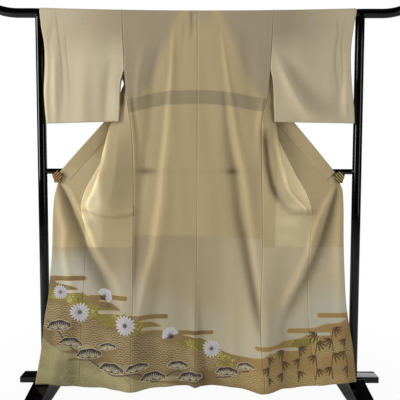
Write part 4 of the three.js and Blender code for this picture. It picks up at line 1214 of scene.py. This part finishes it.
# The fronts: painted light on the stretch that swings back where a second layer lies behind it, a painted
# highlight inside its rim, a painted shadow along the pouch's soft bottom edge, painted light coming through
# the strip by the inner seam, and painted shade with some painted light where a front shows in the gap under
# a sleeve.
def frontMarks(marks, side, x, z, stretches):
    out, nearest = np.abs(x), stretches["nearest"]
    glowing = past(out, layeredGlow["x"][side], layeredGlow["soft"][side]) * past(z, hemLiningTop["front"], 4)
    glow = layeredGlow["strength"] * glowing * below(z, layeredGlow["top"], 200)
    for atX, atZ, across, down, strength in lightSpots[side]:
        glow = glow + strength * np.exp(-((x - atX) / across) ** 2 - ((z - atZ) / down) ** 2)
    ends = below(z, innerStrip["top"], 120) * past(z, innerStrip["low"], 40)
    strip = innerStrip[side] * stretches["strip"] * ends
    gap = past(out, armGap["x"], 10) * past(z, armGap["low"], 50) * below(z, armGap["top"], 30)
    marks["glow"] = np.minimum(marks["glow"] + (glow + armGap["glow"] * gap) * nearest + strip, 1)
    off = pouchOff(side, x, z)
    dark = pouch["shade"][side] * np.exp(-((off + pouch["shadeAt"][side]) / pouch["shadeReach"][side]) ** 2)
    dark = dark * below(z, pouch["shadeTop"][side], 90)
    dark = dark * mix(0.3, 1, past(z, pouch["shadeLow"][side], 70))
    inside, reach, strength = rimLight[side]
    rim = strength * np.exp(-((stretches["rim"] + inside) / reach) ** 2) * ends
    marks["paintedShading"] = marks["paintedShading"] + (dark - rim + armGap["shade"] * gap) * nearest - 0.4 * strip


def clothUv(across, downward):
    return np.stack(np.broadcast_arrays(across, downward), -1) * mm


def runDown(grid):
    steps = np.linalg.norm(np.diff(grid, axis=0), axis=2).mean(1)
    return np.concatenate([[0], np.cumsum(steps)])[:, None]


def addBody(side):
    grid, run, isFront, stretches = bodyGrid(side)
    x, z = grid[..., 0], grid[..., 2]
    front = np.broadcast_to(isFront[:, None], grid.shape[:2])
    fromCentre = np.abs(x - sides[side]["sign"] * along(centreSeam, z))
    seamOff = np.where(front > 0.5, run, np.minimum(run, fromCentre))
    marks = clothMarks(grid, front, backFolds, seamOff)
    frontShading = foldSums(frontFolds, x, z)[1]
    marks["paintedShading"] = np.where(front > 0.5, frontShading, marks["paintedShading"])
    backMarks(marks, x, z, front)
    frontMarks(marks, side, x, z, stretches)
    return clothShell(f"kimono_body_{side}", grid, [silkBody, silkLining], marks,
                      clothUv(run, runDown(grid)), mirrored=side == "right")


flatWidth = {"okumi": 150, "sleeve": 330}
# Painted shade laid over a whole sleeve: none on the left, some on the right.
sleeveShade = {"left": 0.0, "right": 0.22}


def addOkumi(side):
    grid = okumiGrid(side)
    run = np.linspace(0, flatWidth["okumi"], grid.shape[1])[None, :]
    marks = clothMarks(grid, np.ones(grid.shape[:2]), frontFolds, run)
    return clothShell(f"kimono_okumi_{side}", grid, [silkBody, silkLining], marks,
                      clothUv(run, runDown(grid)), mirrored=side == "left")


def addSleeve(side):
    grid = sleeveGrid(side)
    run = np.linspace(0, flatWidth["sleeve"], grid.shape[1])[None, :]
    marks = clothMarks(grid, np.ones(grid.shape[:2]), sleeveFolds, run)
    x, z = grid[..., 0], grid[..., 2]
    inward = 1 - past(np.abs(x), sleeveTone["bodyX"], sleeveTone["reach"])
    tone = past(z, sleeveTone["from"], sleeveTone["soft"])
    tone = tone * mix(sleeveTone["outer"], sleeveTone["inner"], inward)
    marks["upper"] = clamp01(tone + sleeveShade[side])
    return clothShell(f"kimono_sleeve_{side}", grid, [silkSleeve, silkLining], marks,
                      clothUv(run, runDown(grid)), loop=True, mirrored=side == "right")


def addCollar():
    grid = collarGrid()
    run = np.linspace(0, kimono["collarWidth"], grid.shape[1])[None, :]
    marks = clothMarks(grid, np.ones(grid.shape[:2]), frontFolds, run + 50)
    return clothShell("kimono_collar", grid, [silkBody, silkBody], marks, clothUv(run, runDown(grid)))


def declareCloth(piece, node):
    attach(piece, "root")
    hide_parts(node)


clothPieces = {}
for side in ("left", "right"):
    clothPieces[f"body_{side}"] = addBody(side)
    declareCloth(clothPieces[f"body_{side}"], f"body_{side}")
    clothPieces[f"sleeve_{side}"] = addSleeve(side)
    declareCloth(clothPieces[f"sleeve_{side}"], f"sleeve_{side}")
    clothPieces[f"okumi_{side}"] = addOkumi(side)
    declareCloth(clothPieces[f"okumi_{side}"], f"okumi_{side}")
clothPieces["collar"] = addCollar()
declareCloth(clothPieces["collar"], "collar")


# Embroidery is closed, slightly domed shapes, each point laid on the cloth under it.
def clothTree():
    corners, faces = [], []
    for piece in clothPieces.values():
        shift = len(corners)
        corners.extend(v.co.copy() for v in piece.data.vertices)
        faces.extend([i + shift for i in polygon.vertices] for polygon in piece.data.polygons)
    return BVHTree.FromPolygons(corners, faces)


underThread = clothTree()


# A point in millimetres on the face of the cloth that a viewer of the back sees, raised by lift.
def layPoint(x, z, lift):
    hit = underThread.ray_cast(Vector((x, -600, z)) * mm, Vector((0, 1, 0)))[0]
    return None if hit is None else (hit.x, hit.y - lift * mm, hit.z)


# One colour's shapes, gathered into one mesh.
class Stitches:
    def __init__(self):
        self.points, self.faces, self.tips, self.stitch = [], [], [], []

    def add(self, x, z, lift, tip, along0, across):
        laid = layPoint(x, z, lift)
        if laid is None:
            raise ValueError(f"no cloth under {x:.0f}, {z:.0f}")
        self.points.append(laid)
        self.tips.append(tip)
        self.stitch.append((along0 * mm, across * mm))
        return len(self.points) - 1

    # outline: points along and across the stitch direction from a root. rings: shares of the outline's size.
    def patch(self, root, angle, outline, base=0.0, top=None, rings=(1.0, 0.62)):
        ca, sa = math.cos(angle), math.sin(angle)
        outline = np.array(outline, float)
        centre = outline.mean(0)
        reach = max(outline[:, 0].max(), 1.0)
        top = thread["top"] if top is None else top

        def lay(u, v, lift):
            x, z = root[0] + u * ca - v * sa, root[1] + u * sa + v * ca
            return self.add(x, z, lift, clamp01(u / reach), u, v)

        loops = []
        for share in rings:
            lift = base + mix(thread["edge"], top, math.sqrt(max(0.0, 1 - share * share)))
            loops.append([lay(*(centre + (p - centre) * share), lift) for p in outline])
        unders = [[lay(*(centre + (p - centre) * share), base + 0.02) for p in outline] for share in rings]
        middle, underMiddle = lay(*centre, base + top), lay(*centre, base + 0.02)
        count = len(outline)
        for k in range(count):
            n = (k + 1) % count
            for a, b in zip([unders[0]] + loops, loops):
                self.faces.append((a[k], a[n], b[n], b[k]))
            for a, b in zip(unders, unders[1:]):
                self.faces.append((b[k], b[n], a[n], a[k]))
            self.faces.append((loops[-1][k], loops[-1][n], middle))
            self.faces.append((unders[-1][n], unders[-1][k], underMiddle))

    # A couched cord along points in millimetres.
    def cord(self, line, width, closed=False, base=0.0, top=0.8):
        shape = ((-1, 0.02), (-0.8, top * 0.6), (0, top), (0.8, top * 0.6), (1, 0.02))
        line = np.array(line, float)
        ahead = np.roll(line, -1, 0) - np.roll(line, 1, 0)
        if not closed:
            ahead[0], ahead[-1] = line[1] - line[0], line[-1] - line[-2]
        ahead /= np.hypot(ahead[:, 0], ahead[:, 1])[:, None]
        side = np.stack([-ahead[:, 1], ahead[:, 0]], 1) * width / 2
        run = np.concatenate([[0], np.cumsum(np.hypot(*np.diff(line, axis=0).T))])
        rows = []
        for p, w, at in zip(line, side, run):
            rows.append([self.add(*(p + w * across), base + lift, 0.5 + 0.5 * across, at, across * width / 2)
                         for across, lift in shape])
        pairs = list(zip(rows, rows[1:])) + ([(rows[-1], rows[0])] if closed else [])
        for a, b in pairs:
            for k in range(len(shape)):
                n = (k + 1) % len(shape)
                self.faces.append((a[k], b[k], b[n], a[n]))
        if not closed:
            self.faces.append(tuple(rows[0][::-1]))
            self.faces.append(tuple(rows[-1]))

    def finish(self, name, material):
        work = bmesh.new()
        corners = [work.verts.new(p) for p in self.points]
        stitchUv = work.loops.layers.uv.new("stitch")
        for face in self.faces:
            made = work.faces.new([corners[i] for i in face])
            for loop, i in zip(made.loops, face):
                loop[stitchUv].uv = self.stitch[i]
        piece = finishPiece(work, name, material)
        layer = piece.data.attributes.new("tip", "FLOAT", "POINT")
        layer.data.foreach_set("value", np.array(self.tips, np.float32))
        return piece


def petalShape(start, length, width, blunt=0.62, count=6):
    at = np.linspace(0, 1, count + 1)
    half = width / 2 * np.sin(math.pi * at ** (1 / (2 * blunt))) ** 0.7
    up = [(start + length * t, h) for t, h in zip(at, half)]
    return up + [(u, -h) for u, h in up[-2:0:-1]]


def circleShape(r, count):
    turns = [2 * math.pi * k / count for k in range(count)]
    return [(r * math.cos(turn), r * math.sin(turn)) for turn in turns]


# A flower's two rings: petals, then start, length and width as shares of its size, and turn.
petalRings = [[17, 0.34, 0.66, 0.26, 0.0], [13, 0.14, 0.5, 0.2, 0.7]]
# A pine bough's three fans: place along it and needle length as shares of its size, and needles.
needleFans = [[0.0, 0.68, 9], [-0.66, 0.46, 7], [0.66, 0.46, 7]]


# Chrysanthemum: two rings of petals round a dark heart, or half of one seen from the side.
def flower(colours, x, z, r, lean, half=False):
    spread = math.pi * 1.1 if half else 2 * math.pi
    for petals, start, length, wide, base in petalRings:
        for k in range(petals):
            share = (k + 0.5) / petals if half else k / petals
            angle = lean + (share - 0.5) * spread if half else lean + share * spread + base
            uneven = 1 + 0.07 * math.sin(5.1 * k + x)
            colours["white"].patch((x, z), angle, petalShape(start * r, length * r * uneven, wide * r), base)
    if half:
        for k in range(5):
            angle = lean + math.pi + (k - 2) * 0.42
            colours["dark"].patch((x, z), angle, petalShape(0.02 * r, 0.42 * r, 0.2 * r), 0.9)
    colours["dark"].patch((x, z), 0, circleShape(0.17 * r, 16), 1.2)
    for k in range(7):
        angle = lean + k * 2 * math.pi / 7
        spot = (x + 0.09 * r * math.cos(angle), z + 0.09 * r * math.sin(angle))
        colours["gold"].patch(spot, angle, circleShape(1.5, 8), 2.1, top=0.5)


# Pine in the umbrella form: a scalloped bough with needles fanned over it and a couched edge.
def pineBough(colours, x, z, r, lean):
    turn = np.linspace(0, 2 * math.pi, 64, endpoint=False)
    scallop = 1 + 0.12 * np.abs(np.sin(turn * 3.5)) * (np.sin(turn) > -0.2)
    shape = [(1.2 * r * math.cos(a) * k, 0.72 * r * math.sin(a) * k * (1.0 if math.sin(a) > 0 else 0.35))
             for a, k in zip(turn, scallop)]
    ca, sa = math.cos(lean), math.sin(lean)
    placed = [(x + u * ca - v * sa, z + u * sa + v * ca) for u, v in shape]
    rings = (1.0, 0.93, 0.8, 0.66, 0.52, 0.38, 0.2)
    colours["pine"].patch((x, z), lean, shape, base=0.3, rings=rings, top=0.6)
    colours["cream"].cord(placed, 2.4, closed=True, base=0.35)
    for centre, size, needles in needleFans:
        for k in range(needles):
            angle = lean + math.pi / 2 + (k / (needles - 1) - 0.5) * 2.6
            root = (x + centre * r * ca, z + centre * r * sa - 0.16 * r)
            colours["cream"].patch(root, angle, petalShape(0.08 * r, size * r, 2.7, 0.5, 4), 1.0, top=0.7)


# A smooth line through the points of a branch, with a point every few millimetres.
def branchLine(points, step=7):
    across = np.arange(points[0][0], points[-1][0], step)
    return [(x, float(z)) for x, z in zip(across, along(points, across))]


# Young bamboo: a jointed cane with drooping leaves at its joints.
def bambooCane(colours, points, width, sprigs):
    points = np.array(points, float)
    for low, high in zip(points, points[1:]):
        steps = max(2, int(np.hypot(*(high - low)) / 9))
        line = [mix(low, high, 0.02 + 0.95 * k / steps) for k in range(steps + 1)]
        colours["brown"].cord(line, width, base=0.0, top=0.9)
    for index, side, leaves, size in sprigs:
        x, z = points[index]
        for k in range(leaves):
            angle = -math.pi / 2 + side * (0.25 + 0.42 * k)
            leafOutline = petalShape(5, size * (1 - 0.1 * k), 6.5, 0.5)
            colours["brown"].patch((x, z), angle, leafOutline, 0.5 * k + 0.4)


# where each motif lies: x, height, size, lean and kind
flowers = [[-590, 470, 33, 0.3, False], [-508, 384, 44, 1.1, False], [-404, 452, 36, 0.8, True],
           [-312, 336, 45, 0.2, False], [-124, 286, 37, 1.9, True], [52, 226, 41, 0.5, False]]
pines = [[-598, 318, 42, 0.1], [-548, 246, 38, -0.2], [-470, 196, 43, 0.05], [-390, 232, 30, 0.15],
         [-372, 138, 42, -0.08], [-262, 150, 36, 0.12], [-196, 100, 41, 0.0], [-92, 148, 34, -0.1],
         [-40, 96, 40, 0.06], [118, 122, 37, 0.0], [196, 152, 28, 0.1]]
canes = [
    [[[292, 84], [288, 128], [292, 172], [286, 212]], 3.4, [[3, 1, 3, 40], [2, -1, 3, 42], [1, 1, 2, 34]]],
    [[[352, 82], [356, 130], [352, 180], [360, 226]], 3.8, [[3, -1, 4, 44], [2, 1, 3, 44], [1, -1, 3, 38]]],
    [[[424, 84], [420, 136], [428, 190], [424, 240]], 3.6, [[3, 1, 4, 44], [2, -1, 3, 40], [1, 1, 3, 40]]],
    [[[496, 96], [500, 150], [494, 206], [502, 262], [498, 300]], 4.2,
     [[4, -1, 4, 46], [3, 1, 4, 46], [2, -1, 3, 42], [1, 1, 3, 38]]],
    [[[566, 104], [560, 160], [570, 218], [564, 274], [572, 322]], 4.2,
     [[4, 1, 4, 44], [3, -1, 4, 46], [2, 1, 3, 44], [1, -1, 3, 40]]],
    [[[622, 116], [626, 170], [618, 226], [622, 276]], 3.4, [[3, -1, 3, 36], [2, -1, 3, 38], [1, -1, 2, 34]]],
]
branches = [
    [[-652, 350], [-600, 300], [-545, 228], [-470, 180], [-372, 120], [-262, 132], [-196, 84],
     [-92, 130], [-30, 80], [30, 96]],
    [[70, 100], [118, 106], [160, 122], [214, 142]],
]
crestRings = [[-13, 1622], [-491, 1606], [466, 1610], [524, 606]]      # plain rings where crests would be
ringSize = {"r": 9, "width": 2.2}


def addEmbroidery():
    colours = {name: Stitches() for name in thread["colours"]}
    for x, z, r, lean, half in flowers:
        flower(colours, x, z, r, lean, half)
    for points in branches:
        colours["pine"].cord(branchLine(points), 4.4)
    for x, z, r, lean in pines:
        pineBough(colours, x, z, r, lean)
    for points, width, sprigs in canes:
        bambooCane(colours, points, width, sprigs)
    for x, z in crestRings:
        circle = [(x + u, z + v) for u, v in circleShape(ringSize["r"], 28)]
        colours["white"].cord(circle, ringSize["width"], closed=True, top=0.5)
    made = {}
    for name, stitches in colours.items():
        root, tip, roughness, metallic = thread["colours"][name]
        silkThread = makeThread(f"thread_{name}", root, tip, roughness, metallic)
        made[name] = stitches.finish(f"embroidery_{name}", silkThread)
    return made


embroidered = addEmbroidery()
print("embroidery:", {k: len(p.data.polygons) for k, p in embroidered.items()})
print("kimono pieces made:", {k: len(p.data.polygons) for k, p in clothPieces.items()})


def meshPiece(name, build, material, node):
    work = bmesh.new()
    build(work)
    return finishPiece(work, name, material, node)


# A round bar along a list of points, with softly rounded ends.
def roundBar(work, points, radius, sides=40, ease=3 * mm):
    last = len(points) - 1
    ahead = [(points[min(i + 1, last)] - points[max(i - 1, 0)]).normalized() for i in range(last + 1)]
    ends = [(0, ease), (0.3 * ease, 0.3 * ease), (ease, 0)]             # how far in, how much thinner
    stations = [(points[0] + ahead[0] * inward, ahead[0], radius - less) for inward, less in ends]
    stations += [(points[i], ahead[i], radius) for i in range(1, last)]
    stations += [(points[-1] - ahead[-1] * inward, ahead[-1], radius - less)
                 for inward, less in reversed(ends)]
    rings = []
    for point, heading, size in stations:
        side = heading.cross(Vector((0, 1, 0)) if abs(heading.y) < 0.9 else Vector((0, 0, 1))).normalized()
        up = side.cross(heading)
        rings.append([work.verts.new(point + (side * math.cos(a) + up * math.sin(a)) * size)
                      for a in (2 * math.pi * k / sides for k in range(sides))])
    for a, b in zip(rings, rings[1:]):
        for k in range(sides):
            n = (k + 1) % sides
            work.faces.new((a[k], a[n], b[n], b[k]))
    work.faces.new(rings[0])
    work.faces.new(rings[-1])


def straight(start, end, steps=60):
    return [Vector(start).lerp(Vector(end), k / steps) for k in range(steps + 1)]


railEnd = {"startX": 760, "bendR": 260, "turn": math.radians(28), "tail": 24, "steps": 160}


def railPoints():
    bend = railEnd["bendR"] * railEnd["turn"]
    half = railEnd["startX"] + bend + railEnd["tail"]
    points = []
    for s in np.linspace(-half, half, railEnd["steps"] + 1):
        out = abs(s)
        angle = min(max(out - railEnd["startX"], 0), bend) / railEnd["bendR"]
        tail = max(out - railEnd["startX"] - bend, 0)
        x = min(out, railEnd["startX"]) + railEnd["bendR"] * math.sin(angle) + tail * math.cos(angle)
        rise = railEnd["bendR"] * (1 - math.cos(angle)) + tail * math.sin(angle)
        points.append(Vector((math.copysign(x, s), 0, float(railAxisZ(x)) + rise)) * mm)
    return points


# A block from an outline in depth and height, pushed out along X, with its edges eased.
def easedBlock(work, outline, low, high, ease=2.5 * mm):
    ends = [[work.verts.new((x, y, z)) for y, z in outline] for x in (low, high)]
    count = len(outline)
    for k in range(count):
        n = (k + 1) % count
        work.faces.new((ends[0][k], ends[0][n], ends[1][n], ends[1][k]))
    work.faces.new(ends[0])
    work.faces.new(ends[1])
    bmesh.ops.recalc_face_normals(work, faces=work.faces)
    bmesh.ops.bevel(work, geom=list(work.edges), offset=ease, segments=3, profile=0.6, affect="EDGES")


def nodeBox(name):
    low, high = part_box(name)
    return Vector(low), Vector(high)


# half and peak are the foot's length and height; the beam rests in its notch.
foot = {"notchY": 30.3, "notchZ": 71.7, "peak": 92, "shoulder": 36, "half": 240, "end": 42, "corner": 8}


def footOutline():
    half, end, corner = foot["half"], foot["end"], foot["corner"]
    notchY, peak = foot["notchY"], foot["peak"]
    side = [(notchY, foot["notchZ"]), (notchY, peak), (foot["shoulder"], peak),
            (half - corner, end), (half, end - corner), (half, 0)]
    return [(y * mm, z * mm) for y, z in side + [(-y, z) for y, z in reversed(side)]]


def buildStand():
    def add(node, build):
        meshPiece(f"stand_{node}", build, lacquerBlack, node)

    add("top_rail", lambda work: roundBar(work, railPoints(), stand["railR"] * mm))
    for side in ("left", "right"):
        low, high = nodeBox(f"upright_{side}")
        x = (low.x + high.x) / 2
        line = straight((x, 0, low.z), (x, 0, high.z))
        add(f"upright_{side}", lambda work: roundBar(work, line, high.x - x, ease=stand["jointEase"] * mm))
        low, high = nodeBox(f"foot_{side}")
        add(f"foot_{side}", lambda work: easedBlock(work, footOutline(), low.x, high.x))
    low, high = nodeBox("crossbar")
    z = stand["crossbarZ"] * mm
    line = straight((low.x, 0, z), (high.x, 0, z))
    add("crossbar", lambda work: roundBar(work, line, stand["crossbarR"] * mm, ease=stand["jointEase"] * mm))
    low, high = nodeBox("lower_beam")
    outline = [(low.y, low.z), (high.y, low.z), (high.y, high.z), (low.y, high.z)]
    add("lower_beam", lambda work: easedBlock(work, outline, low.x, high.x))


buildStand()


clip = {"pitch": 9.0 * mm, "groove": 1.6 * mm, "columns": 44, "rows": 54, "narrow": 0.58, "shoulder": 0.42,
        "pinSides": 24}


# A clip's jaw: a fan-shaped plate with a pointed crown and slanted raised ribs on its outer face.
def ribbedJaw(work, low, high, slant, outward):
    ribs = work.verts.layers.float.new("rib")
    columns, rows = clip["columns"], clip["rows"]
    sheets = []
    for outer in (outward < 0, outward > 0):
        sheet = []
        for i in range(rows + 1):
            line = []
            for j in range(columns + 1):
                u = j / columns * 2 - 1
                crown = 1 - (1 - clip["shoulder"]) * abs(u) - 0.1 * (1 - math.cos(4 * math.pi * abs(u)))
                v = (crown + 1) * i / rows - 1
                reach = mix(clip["narrow"], 1, float(smooth((v + 1) / 1.3)))
                x = (low.x + high.x) / 2 + u * reach * (high.x - low.x) / 2
                z = mix(low.z, high.z, (v + 1) / 2)
                edge = min(1.0, (1 - abs(u)) * 9, i * 0.35, (rows - i) * 0.35)
                wave = 0.5 + 0.5 * math.cos(2 * math.pi * (x * slant + z) / clip["pitch"] / 1.414)
                face = clip["groove"] * (1 - edge * wave) if outer else 0
                y = high.y - face if sheets else low.y + face
                vert = work.verts.new((x, y, z))
                vert[ribs] = edge * wave
                line.append(vert)
            sheet.append(line)
        sheets.append(sheet)
    front, back = sheets
    for i in range(rows):
        for j in range(columns):
            work.faces.new((front[i][j], front[i][j + 1], front[i + 1][j + 1], front[i + 1][j]))
            work.faces.new((back[i][j], back[i + 1][j], back[i + 1][j + 1], back[i][j + 1]))
    rim = [(i, 0) for i in range(rows)] + [(rows, j) for j in range(columns)]
    rim += [(rows - i, columns) for i in range(rows)] + [(0, columns - j) for j in range(columns)]
    for (i, j), (m, n) in zip(rim, rim[1:] + rim[:1]):
        work.faces.new((front[i][j], front[m][n], back[m][n], back[i][j]))


def buildClips():
    for side, slant in (("left", -1), ("right", 1)):
        for place, outward in (("front", -1), ("rear", 1)):
            low, high = nodeBox(f"clip_jaw_{place}_{side}")
            meshPiece(f"clip_jaw_{place}_{side}", lambda w: ribbedJaw(w, low, high, slant, outward),
                      clipGilt[side], f"clip_jaw_{place}_{side}")
        low, high = nodeBox(f"clip_pin_{side}")
        x, z, radius = (low.x + high.x) / 2, (low.z + high.z) / 2, (high.x - low.x) / 2
        line = straight((x, low.y, z), (x, high.y, z), 8)
        meshPiece(f"clip_spring_pin_{side}",
                  lambda work: roundBar(work, line, radius, clip["pinSides"], stand["jointEase"] * mm),
                  clipSteel, f"clip_pin_{side}")


buildClips()
print("stand and clips made")


# The floor, the lamps and the camera.
studio = {
    "lamps": {                                  # watts, place, width and height of each lamp
        "key_light": [78, (-3.4, -1.5, 1.9), 0.9, 2.0],
        "fill_light": [22, (2.9, -2.6, 1.5), 1.0, 2.0],
        "top_light": [8, (0, -0.9, 3.4), 1.8, 0.8],
        "back_light": [26, (1.4, 3.0, 1.9), 1.8, 1.8],
    },
    "aim": (0, 0, 0.85), "skyLight": 0.31, "skyGloss": 0.03,
    "floorR": 7.0, "floorSides": 64, "floorDrop": 0.0005, "floorColour": (0.9, 0.9, 0.9, 1),
    "glowNear": 0.7, "glowFar": 1.6, "floorGlow": 0.94,     # the floor shines white from near to far, as seen
    "eye": (0.0014, -1.881, 0.965), "lens": 39.6, "tiltDown": 3.17, "roll": 0.10,
}
white = (1, 1, 1, 1)


def buildStage():
    mesh = bpy.data.meshes.new("studio_floor")
    turns = [2 * math.pi * k / studio["floorSides"] for k in range(studio["floorSides"])]
    ring = [(studio["floorR"] * math.cos(a), studio["floorR"] * math.sin(a), 0) for a in turns]
    mesh.from_pydata(ring, [], [tuple(range(len(ring)))])
    floor = placePiece("studio_floor", mesh)
    floor.location.z = -studio["floorDrop"]
    material, tree = startMaterial("studio_floor")[:2]
    tree.nodes.clear()
    away = addNode(tree, "ShaderNodeVectorMath", {0: objectPlace(tree)}, operation="LENGTH").outputs["Value"]
    far = mapRange(tree, away, studio["glowNear"], studio["glowFar"], studio["floorGlow"], 1.0)
    seen = addNode(tree, "ShaderNodeLightPath").outputs["Is Camera Ray"]
    dull = addNode(tree, "ShaderNodeBsdfDiffuse", {"Color": studio["floorColour"]}).outputs[0]
    shine = addNode(tree, "ShaderNodeEmission", {"Color": white, "Strength": 1.0}).outputs[0]
    blend = addNode(tree, "ShaderNodeMixShader", {0: times(tree, far, seen), 1: dull, 2: shine}).outputs[0]
    addNode(tree, "ShaderNodeOutputMaterial", {0: blend}).is_active_output = True
    mesh.materials.append(material)


def buildWorld():
    world = bpy.data.worlds.new("studio_world")
    world.use_nodes = True
    tree = world.node_tree
    tree.nodes.clear()
    rays = addNode(tree, "ShaderNodeLightPath").outputs
    level = blendValue(tree, rays["Is Glossy Ray"], studio["skyLight"], studio["skyGloss"])
    level = blendValue(tree, rays["Is Camera Ray"], level, 1.0)
    sky = addNode(tree, "ShaderNodeBackground", {"Color": white, "Strength": level}).outputs[0]
    addNode(tree, "ShaderNodeOutputWorld", {0: sky})
    bpy.context.scene.world = world


def addLamp(name, watts, place, width, height):
    data = bpy.data.lights.new(name, "AREA")
    data.shape = "RECTANGLE"
    data.size, data.size_y, data.energy = width, height, watts
    lamp = placePiece(name, data)
    lamp.location = place
    aim = Vector(studio["aim"]) - Vector(place)
    lamp.rotation_euler = aim.to_track_quat("-Z", "Y").to_euler()


def buildCamera():
    data = bpy.data.cameras.new("camera")
    data.sensor_width, data.lens = 36.0, studio["lens"]
    camera = placePiece("camera", data)
    camera.location = studio["eye"]
    camera.rotation_mode = "QUATERNION"
    tilt = Quaternion((1, 0, 0), math.radians(90 - studio["tiltDown"]))
    camera.rotation_quaternion = tilt @ Quaternion((0, 0, 1), math.radians(studio["roll"]))
    bpy.context.scene.camera = camera


buildStage()
buildWorld()
for lampName, lampFacts in studio["lamps"].items():
    addLamp(lampName, *lampFacts)
buildCamera()
bpy.context.scene.view_settings.view_transform = "Standard"
print("stage made")
